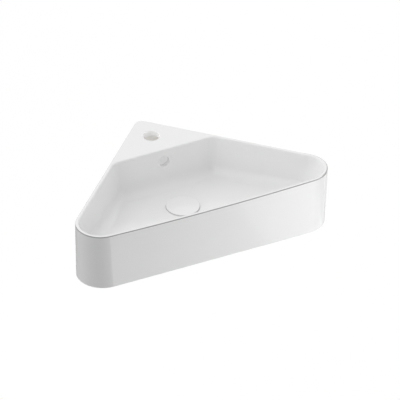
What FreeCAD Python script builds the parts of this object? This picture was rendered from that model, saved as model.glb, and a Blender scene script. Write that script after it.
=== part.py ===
import FreeCAD, Part
import math
import os

# Corner wash basin with a pop-up waste. Millimetres, +Z up.
# Origin: where the two room walls meet, at the height of the basin's rim.
# The walls run from there towards (-1, -1) and (+1, -1); the apron faces -Y.

# ---- basin outline -------------------------------------------------------
BASIN_HEIGHT = 134.0
TOP_DEPTH = 371.7           # room corner to the middle of the apron, at the rim
APRON_LEAN = 5.5            # how much nearer the room corner it is at the bottom edge
APRON_R_TOP = 5250.0        # the apron's bow in plan, at the rim
APRON_R_BASE = 60000.0      # and at the bottom edge, where it is almost straight
FRONT_CORNER_R_TOP = 53.0
FRONT_CORNER_R_BASE = 56.0
REAR_CORNER_R = 17.0
RIM_WIDTH = 7.0
RIM_EDGE_R = 2.4
BASE_EDGE_R = 1.5

# ---- shell and deck ------------------------------------------------------
SHELL_WALL = 8.0
SHELL_REAR_R = 10.0
DECK_THICKNESS = 13.0
DECK_FRONT = 126.5          # room corner to the deck's front edge, at the rim
TAP_HOLE_R = 17.5
TAP_HOLE_BACK = 69.0        # room corner to the tap hole's axis
TAP_EDGE_R = 1.2

# ---- bowl ----------------------------------------------------------------
BOWL_WALL = 9.0
BOWL_TILT = 12.0            # degrees from vertical, side and front walls
BOWL_REAR_TILT = 11.0       # degrees from vertical, wall under the deck
BOWL_FRONT_R = 46.0
BOWL_DECK_R = 27.0
BOWL_DEPTH = 86.0           # rim to the floor beside the waste
FLOOR_SLOPE = 2.8           # degrees, falling to the waste
FLOOR_FILLET_R = 26.0

# ---- drain ---------------------------------------------------------------
WASTE_BACK = 223.0          # room corner to the waste's axis
DRAIN_HOLE_R = 23.0
DRAIN_WALL = 8.0            # ceramic round the cover's recess
DRAIN_BOSS_DEPTH = 26.0     # seat of the flange to the boss's flat underside
RECESS_GAP = 2.0            # round the cover
RECESS_DEPTH = 12.0
RECESS_EDGE_R = 1.0

# ---- overflow ------------------------------------------------------------
OVERFLOW_HOLE_R = 12.0
OVERFLOW_DEPTH = 27.6       # rim to the hole's axis
OVERFLOW_WIDTH = 30.0
OVERFLOW_GAP = 14.0         # front to back, behind the bowl
OVERFLOW_RUN_WIDTH = 20.0
OVERFLOW_RUN_HEIGHT = 12.0
OVERFLOW_RUN_DROP = 6.0     # below the flange's seat
DUCT_WALL = 6.0

# ---- wall fixing ---------------------------------------------------------
FIXING_ALONG = 240.0        # room corner to a fixing hole, along its wall
FIXING_DEPTH = 100.0        # rim to a fixing hole
FIXING_HOLE_R = 7.0
FIXING_PAD_R = 22.0
FIXING_PAD_DEPTH = 8.0

# ---- pop-up waste --------------------------------------------------------
COVER_R = 36.0
COVER_THICKNESS = 6.5
COVER_CROWN = 1.2
COVER_EDGE_R = 2.4
CARRIER_R = 25.0
CARRIER_THICKNESS = 2.5
CARRIER_HUB_R = 8.0
CARRIER_HUB_LENGTH = 6.5
SEAL_R = 27.0
SEAL_BORE_R = 21.5
SEAL_THICKNESS = 2.0
SEAL_GAP = 0.2
FLANGE_R = 33.0
FLANGE_THICKNESS = 2.8
FLANGE_GASKET_THICKNESS = 2.0
WASTE_BORE_R = 18.0
WASTE_MOUTH_R = 20.0
WASTE_MOUTH_DEPTH = 2.0
WASTE_NECK_R = 20.0
WASTE_NECK_LENGTH = 24.0    # flange's seat to the start of the thread
WASTE_THREAD_R = 20.955
WASTE_LENGTH = 74.0         # flange top to the outlet
WASTE_CHAMFER = 1.2
RELIEF_DEPTH = 0.6          # turned groove under the back nut, where the trap's thread starts
RELIEF_WIDTH = 1.2
RELIEF_GAP = 1.0            # back nut to the groove
ARM_COUNT = 3               # arms of the cross, with an overflow slot between each two
ARM_WIDTH = 4.0
SLOT_WIDTH = 14.0
TAPER_GASKET_THICKNESS = 6.0
TAPER_GASKET_R = 31.0
TAPER_GASKET_EDGE = 3.0     # how much wider it is at the washer than at the boss
TAPER_GASKET_COLLAR = 3.0
SLIP_WASHER_R = 31.0
SLIP_WASHER_THICKNESS = 1.5
BACK_NUT_FLATS = 54.0
BACK_NUT_THICKNESS = 10.0
THREAD_GAP = 0.15           # radial, nuts and gaskets on a thread
COLLAR_GAP = 0.3            # radial, gasket collar in the drain hole

# ---- press-to-open cartridge ---------------------------------------------
LIFT = 9.0
ROD_R = 4.0
RUNNING_FIT = 0.05
HUB_R = 13.0
HUB_HEIGHT = 8.0
SLEEVE_R = 9.5
SLEEVE_BORE_R = 8.0
SLEEVE_HEAD_FLATS = 22.0
SLEEVE_HEAD_HEIGHT = 8.0
SLEEVE_LENGTH = 50.0
SLEEVE_WASHER_THICKNESS = 1.0
SLEEVE_WASHER_R = 12.5
WIPER_R = 6.2
WIPER_THICKNESS = 1.8
LOCK_NUT_FLATS = 13.0
LOCK_NUT_THICKNESS = 3.0
NUT_GAP = 1.3               # lock nut to sleeve with the cover shut
STOP_GAP = 0.3
CROWN_LENGTH = 24.0
CROWN_BORE_R = 5.8
GROOVE_R = 7.3
GROOVE_END_GAP = 0.5
GROOVE_GAP = 4.0            # degrees, each side of a lug
GROOVE_TWIST = 10.0         # degrees, at most, between two sections of a groove
LUG_COUNT = 4
LUG_R = 6.95
LUG_ANGLE = 22.0            # degrees, one lug's width
LUG_HEIGHT = 3.0
ROTOR_R = 5.4
ROTOR_HEIGHT = 5.0
ROTOR_TURN = 45.0           # degrees, over the whole lift
PLUNGER_HEAD_R = 5.3
PLUNGER_HEAD_HEIGHT = 2.5
SPIGOT_R = 2.4
SPIGOT_LENGTH = 16.0
THRUST_GAP = 0.2
SPRING_WIRE_R = 0.5
SPRING_COIL_R = 4.2
SPRING_TURNS = 9
SPRING_END_GAP = 0.05
END_CAP_HEIGHT = 4.0
SEAT_GAP = 0.05             # radial, pieces fixed in a bore

# ---- worked out ----------------------------------------------------------
ROOT_HALF = math.sqrt(0.5)
MARGIN = 1.0                # how far a cutting body runs past what it cuts
SAME = 1e-4                 # two lengths closer than this count as equal
FLOOR_Z = -BOWL_DEPTH
RECESS_R = COVER_R + RECESS_GAP
BOSS_R = RECESS_R + DRAIN_WALL
SEAT_Z = FLOOR_Z - RECESS_DEPTH
BOSS_Z = SEAT_Z - DRAIN_BOSS_DEPTH
RUN_TOP_Z = SEAT_Z - OVERFLOW_RUN_DROP
RUN_BASE_Z = RUN_TOP_Z - OVERFLOW_RUN_HEIGHT
FLANGE_BASE_Z = SEAT_Z + FLANGE_GASKET_THICKNESS
FLANGE_TOP_Z = FLANGE_BASE_Z + FLANGE_THICKNESS
SEAL_Z = FLANGE_TOP_Z + SEAL_GAP
COVER_BASE_Z = SEAL_Z + SEAL_THICKNESS
COVER_TOP_Z = COVER_BASE_Z + COVER_THICKNESS
OUTLET_Z = FLANGE_TOP_Z - WASTE_LENGTH
THREAD_TOP_Z = SEAT_Z - WASTE_NECK_LENGTH
GASKET_BASE_Z = BOSS_Z - TAPER_GASKET_THICKNESS
WASHER_BASE_Z = GASKET_BASE_Z - SLIP_WASHER_THICKNESS
NUT_BASE_Z = WASHER_BASE_Z - BACK_NUT_THICKNESS
RELIEF_TOP_Z = NUT_BASE_Z - RELIEF_GAP
RELIEF_BASE_Z = RELIEF_TOP_Z - RELIEF_WIDTH
HUB_BASE = COVER_BASE_Z - CARRIER_HUB_LENGTH
LOCK_NUT_Z = HUB_BASE - LOCK_NUT_THICKNESS
SLEEVE_TOP_Z = LOCK_NUT_Z - NUT_GAP
SLEEVE_HEAD_Z = SLEEVE_TOP_Z - SLEEVE_HEAD_HEIGHT
CROSS_TOP_Z = SLEEVE_HEAD_Z - SLEEVE_WASHER_THICKNESS
SLEEVE_BASE_Z = SLEEVE_TOP_Z - SLEEVE_LENGTH
WIPER_Z = SLEEVE_TOP_Z - WIPER_THICKNESS
CROWN_BASE_Z = SLEEVE_HEAD_Z - CROWN_LENGTH
HEAD_TOP_Z = SLEEVE_HEAD_Z - STOP_GAP - LIFT
HEAD_BASE_Z = HEAD_TOP_Z - PLUNGER_HEAD_HEIGHT
ROTOR_TOP_Z = HEAD_BASE_Z - THRUST_GAP
ROTOR_BASE_Z = ROTOR_TOP_Z - ROTOR_HEIGHT
CAP_TOP_Z = SLEEVE_BASE_Z + END_CAP_HEIGHT
TURN_PER_MM = ROTOR_TURN / LIFT


# ---- small helpers -------------------------------------------------------
def vec(x, y, z):
    return FreeCAD.Vector(x, y, z)


def mirrored(point):
    return vec(-point.x, point.y, point.z)


def line(start, end):
    return Part.LineSegment(start, end).toShape()


def arc(start, middle, end):
    return Part.Arc(start, middle, end).toShape()


def disc(radius, top, base):
    """A cylinder on the waste's axis."""
    return Part.makeCylinder(radius, top - base, vec(0, -WASTE_BACK, base))


def ring(radius, bore, top, base):
    return disc(radius, top, base).cut(disc(bore, top + MARGIN, base - MARGIN))


def cone(base_radius, top_radius, top, base):
    return Part.makeCone(base_radius, top_radius, top - base, vec(0, -WASTE_BACK, base))


def hexagon(flats, top, base):
    """A hexagonal prism on the waste's axis, measured across its flats."""
    radius = flats / 2 / math.cos(math.pi / 6)
    corners = []
    for step in range(7):
        angle = step * math.pi / 3
        corners.append(vec(radius * math.cos(angle), radius * math.sin(angle) - WASTE_BACK, base))
    return Part.Face(Part.makePolygon(corners)).extrude(vec(0, 0, top - base))


def box(x_low, x_high, y_low, y_high, z_low, z_high):
    size = (x_high - x_low, y_high - y_low, z_high - z_low)
    return Part.makeBox(size[0], size[1], size[2], vec(x_low, y_low, z_low))


def turned(profile):
    """Revolve (radius, z) points about the waste's axis."""
    corners = [vec(radius, -WASTE_BACK, z) for radius, z in profile]
    corners.append(corners[0])
    face = Part.Face(Part.makePolygon(corners))
    return face.revolve(vec(0, -WASTE_BACK, 0), vec(0, 0, 1), 360)


def spun(shape, angle):
    """A copy of a shape, turned about the waste's axis."""
    copy = shape.copy()
    copy.rotate(vec(0, -WASTE_BACK, 0), vec(0, 0, 1), angle)
    return copy


def sector(inner, outer, start, end, z):
    """A flat wedge of a ring round the waste's axis, angles in degrees."""
    def at(radius, angle):
        turn = math.radians(angle)
        return vec(radius * math.cos(turn), radius * math.sin(turn) - WASTE_BACK, z)
    middle = (start + end) / 2
    edges = [
        arc(at(inner, start), at(inner, middle), at(inner, end)),
        line(at(inner, end), at(outer, end)),
        arc(at(outer, end), at(outer, middle), at(outer, start)),
        line(at(outer, start), at(inner, start)),
    ]
    return Part.Wire(edges)


# ---- outlines of the basin -----------------------------------------------
def leg_point(side, along, inset, z):
    """A point by a wall: along it from the room corner, and in from it."""
    return vec(side * (along - inset) * ROOT_HALF, -(along + inset) * ROOT_HALF, z)


def apron_at(z):
    """Depth and plan radius of the apron at a height."""
    share = -z / BASIN_HEIGHT
    depth = TOP_DEPTH - share * APRON_LEAN
    curve = 1 / APRON_R_TOP + share * (1 / APRON_R_BASE - 1 / APRON_R_TOP)
    return depth, 1 / curve


def corner_radius_at(z):
    share = -z / BASIN_HEIGHT
    return FRONT_CORNER_R_TOP + share * (FRONT_CORNER_R_BASE - FRONT_CORNER_R_TOP)


def front_points(inset, radius, z):
    """Start, middle and end of the right front corner, and the apron's middle."""
    depth, big = apron_at(z)
    big_y = big - depth
    reach = (inset + radius) / ROOT_HALF
    offset = reach + big_y
    gap = big - inset - radius
    x = (math.sqrt(2 * gap ** 2 - offset ** 2) - offset) / 2
    centre = vec(x, -reach - x, z)
    to_wall = vec(ROOT_HALF, ROOT_HALF, 0)
    to_front = (centre - vec(0, big_y, z)) / gap
    outward = (to_wall + to_front).normalize()
    start = centre + to_wall * radius
    middle = centre + outward * radius
    end = centre + to_front * radius
    return start, middle, end, vec(0, inset - depth, z)


def corner_rear(inset, radius, z):
    """The rounded corner that faces the room's corner."""
    left = leg_point(-1, inset + radius, inset, z)
    right = leg_point(1, inset + radius, inset, z)
    top = vec(0, radius - (inset + radius) / ROOT_HALF, z)
    return [arc(left, top, right)], left, right


def deck_rear(inset, distance, radius, z):
    """The deck's straight front edge, with a round at each end."""
    centre = vec(radius + distance - (inset + radius) / ROOT_HALF, -distance - radius, z)
    start = vec(centre.x, -distance, z)
    end = centre + vec(ROOT_HALF, ROOT_HALF, 0) * radius
    middle = centre + vec(math.sin(math.pi / 8), math.cos(math.pi / 8), 0) * radius
    edges = [
        arc(mirrored(end), mirrored(middle), mirrored(start)),
        line(mirrored(start), start),
        arc(start, middle, end),
    ]
    return edges, mirrored(end), end


def outline(rear, front):
    """A closed outline from its rear edges and its front points."""
    edges, left, right = rear
    start, middle, end, nose = front
    edges = edges + [
        line(right, start),
        arc(start, middle, end),
        arc(end, nose, mirrored(end)),
        arc(mirrored(end), mirrored(middle), mirrored(start)),
        line(mirrored(start), left),
    ]
    return Part.Wire(edges)


def shell_outline(inset, rear_radius, z):
    rear = corner_rear(inset, rear_radius, z)
    return outline(rear, front_points(inset, corner_radius_at(z) - inset, z))


def bowl_outline(grow, z):
    """The bowl's inside at a height, grown outwards for its outer face."""
    inset = RIM_WIDTH - z * math.tan(math.radians(BOWL_TILT)) - grow
    distance = DECK_FRONT - z * math.tan(math.radians(BOWL_REAR_TILT)) - grow
    rear = deck_rear(inset, distance, BOWL_DECK_R + grow, z)
    return outline(rear, front_points(inset, BOWL_FRONT_R + grow, z))


def skinned(lower, upper):
    """A solid between two outlines: flat where both edges are straight."""
    faces = [Part.Face(lower), Part.Face(upper)]
    for below, above in zip(lower.OrderedEdges, upper.OrderedEdges):
        if isinstance(below.Curve, Part.Line):
            near = [vertex.Point for vertex in below.Vertexes]
            far = [vertex.Point for vertex in above.Vertexes]
            if (near[0] - far[0]).Length > (near[0] - far[1]).Length:
                far.reverse()
            corners = [near[0], near[1], far[1], far[0], near[0]]
            faces.append(Part.Face(Part.makePolygon(corners)))
        else:
            faces.append(Part.makeRuledSurface(below, above))
    shell = Part.Shell(faces)
    shell.sewShape()
    solid = Part.Solid(shell)
    if solid.Volume < 0:
        solid.reverse()
    return solid


def edges_at(shape, z):
    """The edges that lie flat at one height."""
    found = []
    for edge in shape.Edges:
        bounds = edge.BoundBox
        if abs(bounds.ZMin - z) < SAME and abs(bounds.ZMax - z) < SAME:
            found.append(edge)
    return found


# ---- the basin -----------------------------------------------------------
def outer_body():
    lower = shell_outline(0, REAR_CORNER_R, -BASIN_HEIGHT)
    body = skinned(lower, shell_outline(0, REAR_CORNER_R, 0))
    body = body.makeFillet(RIM_EDGE_R, edges_at(body, 0))
    return body.makeFillet(BASE_EDGE_R, edges_at(body, -BASIN_HEIGHT))


def bowl_body(grow):
    """The bowl's hollow, or with a wall's growth its outside."""
    walls = skinned(bowl_outline(grow, -BASIN_HEIGHT), bowl_outline(grow, MARGIN))
    low = FLOOR_Z - grow
    reach = TOP_DEPTH + WASTE_BACK
    rise = (reach - RECESS_R) * math.tan(math.radians(FLOOR_SLOPE))
    above_floor = turned([
        (0, low), (RECESS_R, low), (reach, low + rise),
        (reach, 2 * MARGIN), (0, 2 * MARGIN),
    ])
    body = walls.common(above_floor)
    foot = []
    for edge in body.Edges:
        beside = body.ancestorsOfType(edge, Part.Face)
        cones = [face for face in beside if isinstance(face.Surface, Part.Cone)]
        flats = [face for face in beside if face.BoundBox.ZLength < MARGIN]
        if len(cones) == 1 and len(beside) == 2 and not flats:
            foot.append(edge)
    return body.makeFillet(FLOOR_FILLET_R + grow, foot)


def duct_front():
    """Y of the overflow duct's front face, behind the bowl's wall."""
    slope = math.tan(math.radians(BOWL_REAR_TILT))
    return BOWL_WALL - DECK_FRONT - OVERFLOW_DEPTH * slope


def overflow_space(wall):
    """The overflow's way behind and under the bowl, or with a wall its casing."""
    side = OVERFLOW_WIDTH / 2 + wall
    rear = duct_front() + OVERFLOW_GAP + wall
    front = duct_front() - BOWL_WALL if wall else duct_front()
    top = -DECK_THICKNESS if wall else OVERFLOW_HOLE_R - OVERFLOW_DEPTH
    drop = box(-side, side, front, rear, RUN_BASE_Z - wall, top)
    half = OVERFLOW_RUN_WIDTH / 2 + wall
    run_top = FLOOR_Z if wall else RUN_TOP_Z
    run = box(-half, half, -WASTE_BACK, rear, RUN_BASE_Z - wall, run_top)
    return drop.fuse(run)


def fixing_axis(side):
    """Where a fixing hole leaves the wall face, and its way into the basin."""
    start = leg_point(side, FIXING_ALONG, 0, -FIXING_DEPTH)
    inward = vec(-side * ROOT_HALF, -ROOT_HALF, 0)
    return start, inward


def fixing_pad(side):
    start, inward = fixing_axis(side)
    return Part.makeCylinder(FIXING_PAD_R, SHELL_WALL + FIXING_PAD_DEPTH, start, inward)


def fixing_hole(side):
    start, inward = fixing_axis(side)
    length = SHELL_WALL + FIXING_PAD_DEPTH + 2 * MARGIN
    return Part.makeCylinder(FIXING_HOLE_R, length, start - inward * MARGIN, inward)


def hollow():
    """The open space under the bowl, between it and the outer shell."""
    lower = shell_outline(SHELL_WALL, SHELL_REAR_R, -BASIN_HEIGHT - MARGIN)
    space = skinned(lower, shell_outline(SHELL_WALL, SHELL_REAR_R, -DECK_THICKNESS))
    kept = bowl_body(BOWL_WALL).fuse(disc(BOSS_R, FLOOR_Z, BOSS_Z))
    kept = kept.fuse(overflow_space(DUCT_WALL))
    for side in (-1, 1):
        kept = kept.fuse(fixing_pad(side))
    return space.cut(kept)


def tap_hole():
    return Part.makeCylinder(TAP_HOLE_R, DECK_THICKNESS + 2 * MARGIN,
                             vec(0, -TAP_HOLE_BACK, -DECK_THICKNESS - MARGIN))


def overflow_hole():
    length = DECK_FRONT
    start = vec(0, duct_front() + OVERFLOW_GAP / 2 - length, -OVERFLOW_DEPTH)
    return Part.makeCylinder(OVERFLOW_HOLE_R, length, start, vec(0, 1, 0))


def basin_body():
    body = outer_body().cut(hollow())
    body = body.cut(bowl_body(0))
    body = body.cut(disc(RECESS_R, FLOOR_Z + RECESS_DEPTH, SEAT_Z))
    body = body.cut(disc(DRAIN_HOLE_R, FLOOR_Z, BOSS_Z - MARGIN))
    body = body.cut(overflow_space(0))
    body = body.cut(overflow_hole())
    body = body.cut(tap_hole())
    for side in (-1, 1):
        body = body.cut(fixing_hole(side))
    return rounded_edges(body)


def circles(body, radius, z):
    """The circular edges of one radius at one height."""
    found = []
    for edge in edges_at(body, z):
        if isinstance(edge.Curve, Part.Circle) and abs(edge.Curve.Radius - radius) < SAME:
            found.append(edge)
    return found


def bowl_rim(body):
    """The rim's edges beside the bowl."""
    found = []
    for edge in edges_at(body, 0):
        middle = edge.valueAt((edge.FirstParameter + edge.LastParameter) / 2)
        from_wall = -(abs(middle.x) + middle.y) * ROOT_HALF
        from_front = TOP_DEPTH + middle.y
        in_deck = edge.BoundBox.YMax > MARGIN - DECK_FRONT
        if min(from_wall, from_front) > RIM_WIDTH - RIM_EDGE_R and not in_deck:
            found.append(edge)
    return found


def rounded_edges(body):
    """Round the rim's inner edge, the tap hole and the edge of the cover's recess."""
    body = body.makeFillet(RIM_EDGE_R, bowl_rim(body))
    body = body.makeFillet(TAP_EDGE_R, circles(body, TAP_HOLE_R, 0))
    return body.makeFillet(RECESS_EDGE_R, circles(body, RECESS_R, FLOOR_Z))


# ---- the waste -----------------------------------------------------------
def cover_cap():
    """A slightly domed ceramic disc, hollowed underneath for its carrier."""
    edge_z = COVER_TOP_Z - COVER_CROWN
    middle_r = COVER_R / 2
    middle_z = COVER_TOP_Z - COVER_CROWN / 4
    axis_y = -WASTE_BACK
    edges = [
        arc(vec(0, axis_y, COVER_TOP_Z), vec(middle_r, axis_y, middle_z), vec(COVER_R, axis_y, edge_z)),
        line(vec(COVER_R, axis_y, edge_z), vec(COVER_R, axis_y, COVER_BASE_Z)),
        line(vec(COVER_R, axis_y, COVER_BASE_Z), vec(0, axis_y, COVER_BASE_Z)),
        line(vec(0, axis_y, COVER_BASE_Z), vec(0, axis_y, COVER_TOP_Z)),
    ]
    face = Part.Face(Part.Wire(edges))
    cap = face.revolve(vec(0, axis_y, 0), vec(0, 0, 1), 360)
    cap = cap.makeFillet(COVER_EDGE_R, edges_at(cap, edge_z))
    return cap.cut(disc(CARRIER_R + SEAT_GAP, COVER_BASE_Z + CARRIER_THICKNESS, COVER_BASE_Z - MARGIN))


def cover_carrier():
    """The plate glued under the cover, with a threaded hub."""
    plate = disc(CARRIER_R, COVER_BASE_Z + CARRIER_THICKNESS, COVER_BASE_Z)
    hub = disc(CARRIER_HUB_R, COVER_BASE_Z, HUB_BASE)
    bore = disc(ROD_R + THREAD_GAP, COVER_BASE_Z + CARRIER_THICKNESS / 2, HUB_BASE - MARGIN)
    return plate.fuse(hub).cut(bore).removeSplitter()


def plug_seal():
    return ring(SEAL_R, SEAL_BORE_R, COVER_BASE_Z, SEAL_Z)


def lock_nut():
    nut = hexagon(LOCK_NUT_FLATS, HUB_BASE, LOCK_NUT_Z)
    return nut.cut(disc(ROD_R + THREAD_GAP, HUB_BASE + MARGIN, LOCK_NUT_Z - MARGIN))


def plunger_rod():
    """The rod that lifts the cover, with its head and the rotor's spigot."""
    rod = disc(ROD_R, COVER_BASE_Z, HEAD_TOP_Z)
    head = disc(PLUNGER_HEAD_R, HEAD_TOP_Z, HEAD_BASE_Z)
    spigot = disc(SPIGOT_R, HEAD_BASE_Z, HEAD_BASE_Z - SPIGOT_LENGTH)
    return rod.fuse(head).fuse(spigot).removeSplitter()


def waste_body():
    """The flanged tube, with its overflow slots and the cross that holds the cartridge."""
    body = turned([
        (WASTE_MOUTH_R, FLANGE_TOP_Z), (FLANGE_R, FLANGE_TOP_Z), (FLANGE_R, FLANGE_BASE_Z),
        (WASTE_NECK_R, FLANGE_BASE_Z), (WASTE_NECK_R, THREAD_TOP_Z + WASTE_CHAMFER),
        (WASTE_THREAD_R, THREAD_TOP_Z), (WASTE_THREAD_R, RELIEF_TOP_Z),
        (WASTE_THREAD_R - RELIEF_DEPTH, RELIEF_TOP_Z), (WASTE_THREAD_R - RELIEF_DEPTH, RELIEF_BASE_Z),
        (WASTE_THREAD_R, RELIEF_BASE_Z), (WASTE_THREAD_R, OUTLET_Z + WASTE_CHAMFER),
        (WASTE_THREAD_R - WASTE_CHAMFER, OUTLET_Z), (WASTE_BORE_R, OUTLET_Z),
        (WASTE_BORE_R, FLANGE_TOP_Z - WASTE_MOUTH_DEPTH),
    ])
    cross = disc(HUB_R, CROSS_TOP_Z, CROSS_TOP_Z - HUB_HEIGHT)
    for step in range(ARM_COUNT):
        angle = step * 360 / ARM_COUNT
        arm = box(0, (WASTE_BORE_R + WASTE_NECK_R) / 2, -WASTE_BACK - ARM_WIDTH / 2,
                  -WASTE_BACK + ARM_WIDTH / 2, CROSS_TOP_Z - HUB_HEIGHT, CROSS_TOP_Z)
        cross = cross.fuse(spun(arm, angle + 90))
    body = body.fuse(cross)
    body = body.cut(disc(SLEEVE_R + THREAD_GAP, CROSS_TOP_Z + MARGIN, CROSS_TOP_Z - HUB_HEIGHT - MARGIN))
    for step in range(ARM_COUNT):
        angle = (step + 0.5) * 360 / ARM_COUNT
        slot = box(HUB_R, WASTE_THREAD_R + MARGIN, -WASTE_BACK - SLOT_WIDTH / 2,
                   -WASTE_BACK + SLOT_WIDTH / 2, RUN_BASE_Z, RUN_TOP_Z)
        body = body.cut(spun(slot, angle + 90))
    return body.removeSplitter()


def flange_gasket():
    return ring(FLANGE_R, WASTE_NECK_R + THREAD_GAP, FLANGE_BASE_Z, SEAT_Z)


def taper_gasket():
    """The rubber ring under the boss, with a collar up the drain hole."""
    body = cone(TAPER_GASKET_R, TAPER_GASKET_R - TAPER_GASKET_EDGE, BOSS_Z, GASKET_BASE_Z)
    collar = disc(DRAIN_HOLE_R - COLLAR_GAP, BOSS_Z + TAPER_GASKET_COLLAR, BOSS_Z)
    bore = disc(WASTE_THREAD_R + THREAD_GAP, BOSS_Z + 2 * TAPER_GASKET_COLLAR, GASKET_BASE_Z - MARGIN)
    return body.fuse(collar).cut(bore)


def slip_washer():
    return ring(SLIP_WASHER_R, WASTE_THREAD_R + THREAD_GAP, GASKET_BASE_Z, WASHER_BASE_Z)


def back_nut():
    nut = hexagon(BACK_NUT_FLATS, WASHER_BASE_Z, NUT_BASE_Z)
    top_r = BACK_NUT_FLATS / 2 + BACK_NUT_THICKNESS
    chamfer = cone(BACK_NUT_FLATS / 2, top_r, WASHER_BASE_Z, NUT_BASE_Z)
    bore = disc(WASTE_THREAD_R + THREAD_GAP, WASHER_BASE_Z + MARGIN, NUT_BASE_Z - MARGIN)
    return nut.common(chamfer).cut(bore)


# ---- the cartridge -------------------------------------------------------
def cartridge_sleeve():
    head = hexagon(SLEEVE_HEAD_FLATS, SLEEVE_TOP_Z, SLEEVE_HEAD_Z)
    body = head.fuse(disc(SLEEVE_R, SLEEVE_HEAD_Z, SLEEVE_BASE_Z))
    body = body.cut(disc(ROD_R + RUNNING_FIT, SLEEVE_TOP_Z + MARGIN, SLEEVE_HEAD_Z - MARGIN))
    body = body.cut(disc(WIPER_R + SEAT_GAP, SLEEVE_TOP_Z + MARGIN, WIPER_Z))
    return body.cut(disc(SLEEVE_BORE_R, SLEEVE_HEAD_Z, SLEEVE_BASE_Z - MARGIN))


def sleeve_washer():
    return ring(SLEEVE_WASHER_R, SLEEVE_R + THREAD_GAP, SLEEVE_HEAD_Z, CROSS_TOP_Z)


def rod_wiper():
    return ring(WIPER_R, ROD_R + RUNNING_FIT, SLEEVE_TOP_Z, WIPER_Z)


def groove(angle):
    """One slanting groove, which a lug climbs as the rotor turns."""
    top = ROTOR_BASE_Z + LIFT + LUG_HEIGHT + GROOVE_END_GAP
    base = CROWN_BASE_Z - MARGIN
    half = LUG_ANGLE / 2 + GROOVE_GAP + LUG_HEIGHT / 2 * TURN_PER_MM
    steps = math.ceil((top - base) * TURN_PER_MM / GROOVE_TWIST)
    sections = []
    for step in range(steps + 1):
        z = base + (top - base) * step / steps
        middle = angle + (z - ROTOR_BASE_Z - LUG_HEIGHT / 2) * TURN_PER_MM
        sections.append(sector(ROTOR_R, GROOVE_R, middle - half, middle + half, z))
    return Part.makeLoft(sections, True, True)


def guide_crown():
    """The plastic liner of the sleeve, grooved for the rotor's lugs."""
    body = ring(SLEEVE_BORE_R - SEAT_GAP, CROWN_BORE_R, SLEEVE_HEAD_Z, CROWN_BASE_Z)
    for step in range(LUG_COUNT):
        body = body.cut(groove(step * 360 / LUG_COUNT))
    return body


def index_rotor():
    """The lugged ring that turns as the plunger rises."""
    body = disc(ROTOR_R, ROTOR_TOP_Z, ROTOR_BASE_Z)
    for step in range(LUG_COUNT):
        middle = step * 360 / LUG_COUNT
        wire = sector(SPIGOT_R, LUG_R, middle - LUG_ANGLE / 2, middle + LUG_ANGLE / 2, ROTOR_BASE_Z)
        body = body.fuse(Part.Face(wire).extrude(vec(0, 0, LUG_HEIGHT)))
    bore = disc(SPIGOT_R + RUNNING_FIT, ROTOR_TOP_Z + MARGIN, ROTOR_BASE_Z - MARGIN)
    return body.cut(bore).removeSplitter()


def return_spring():
    """A coil from the end cap up to the rotor, drawn shut."""
    low = CAP_TOP_Z + SPRING_END_GAP + SPRING_WIRE_R
    high = ROTOR_BASE_Z - SPRING_END_GAP - SPRING_WIRE_R
    path = Part.makeHelix((high - low) / SPRING_TURNS, high - low, SPRING_COIL_R)
    outer = vec(SPRING_COIL_R + SPRING_WIRE_R, 0, 0)
    inner = vec(SPRING_COIL_R - SPRING_WIRE_R, 0, 0)
    halves = [
        arc(outer, vec(SPRING_COIL_R, 0, SPRING_WIRE_R), inner),
        arc(inner, vec(SPRING_COIL_R, 0, -SPRING_WIRE_R), outer),
    ]
    coil = Part.Wire(path.Edges).makePipeShell([Part.Wire(halves)], True, True)
    coil.translate(vec(0, -WASTE_BACK, low))
    return coil


def end_cap():
    return disc(SLEEVE_BORE_R - SEAT_GAP, CAP_TOP_Z, SLEEVE_BASE_Z)


PIECES = [
    basin_body, cover_cap, cover_carrier, plug_seal, lock_nut, plunger_rod,
    waste_body, flange_gasket, taper_gasket, slip_washer, back_nut,
    cartridge_sleeve, sleeve_washer, rod_wiper, guide_crown, index_rotor,
    return_spring, end_cap,
]


def main():
    os.makedirs("parts", exist_ok=True)
    for piece in PIECES:
        shape = piece()
        name = piece.__name__
        print(name, shape.isValid(), len(shape.Solids), round(shape.Volume, 1))
        shape.exportStep("parts/" + name + ".step")


main()
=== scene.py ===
"""Builds the looks of a corner wash basin and its press-to-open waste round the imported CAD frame.

The script is laid out as an add-on: sizes and colours are properties, and each piece or group of like
pieces has its operator. Metres, +Z up, the rim at height 0 and the room's corner on the Z axis.
"""

import math

import bmesh
import bpy
from mathutils import Matrix, Vector
from mathutils.kdtree import KDTree


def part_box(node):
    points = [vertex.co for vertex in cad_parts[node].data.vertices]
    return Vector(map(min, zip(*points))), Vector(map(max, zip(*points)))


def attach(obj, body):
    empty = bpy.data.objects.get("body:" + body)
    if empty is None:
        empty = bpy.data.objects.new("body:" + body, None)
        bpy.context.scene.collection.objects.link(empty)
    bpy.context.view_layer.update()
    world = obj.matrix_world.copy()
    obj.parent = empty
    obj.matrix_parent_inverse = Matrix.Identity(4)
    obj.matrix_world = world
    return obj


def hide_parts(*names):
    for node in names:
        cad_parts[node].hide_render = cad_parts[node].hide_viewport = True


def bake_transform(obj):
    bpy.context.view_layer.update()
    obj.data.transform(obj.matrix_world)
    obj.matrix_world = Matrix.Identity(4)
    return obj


bl_info = {
    "name": "Corner basin",
    "version": (1, 0, 0),
    "blender": (4, 5, 0),
    "location": "3D View > Sidebar > Basin",
    "description": "A glazed corner basin with its press-to-open waste, in a plain studio",
    "category": "Add Mesh",
}

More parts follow.
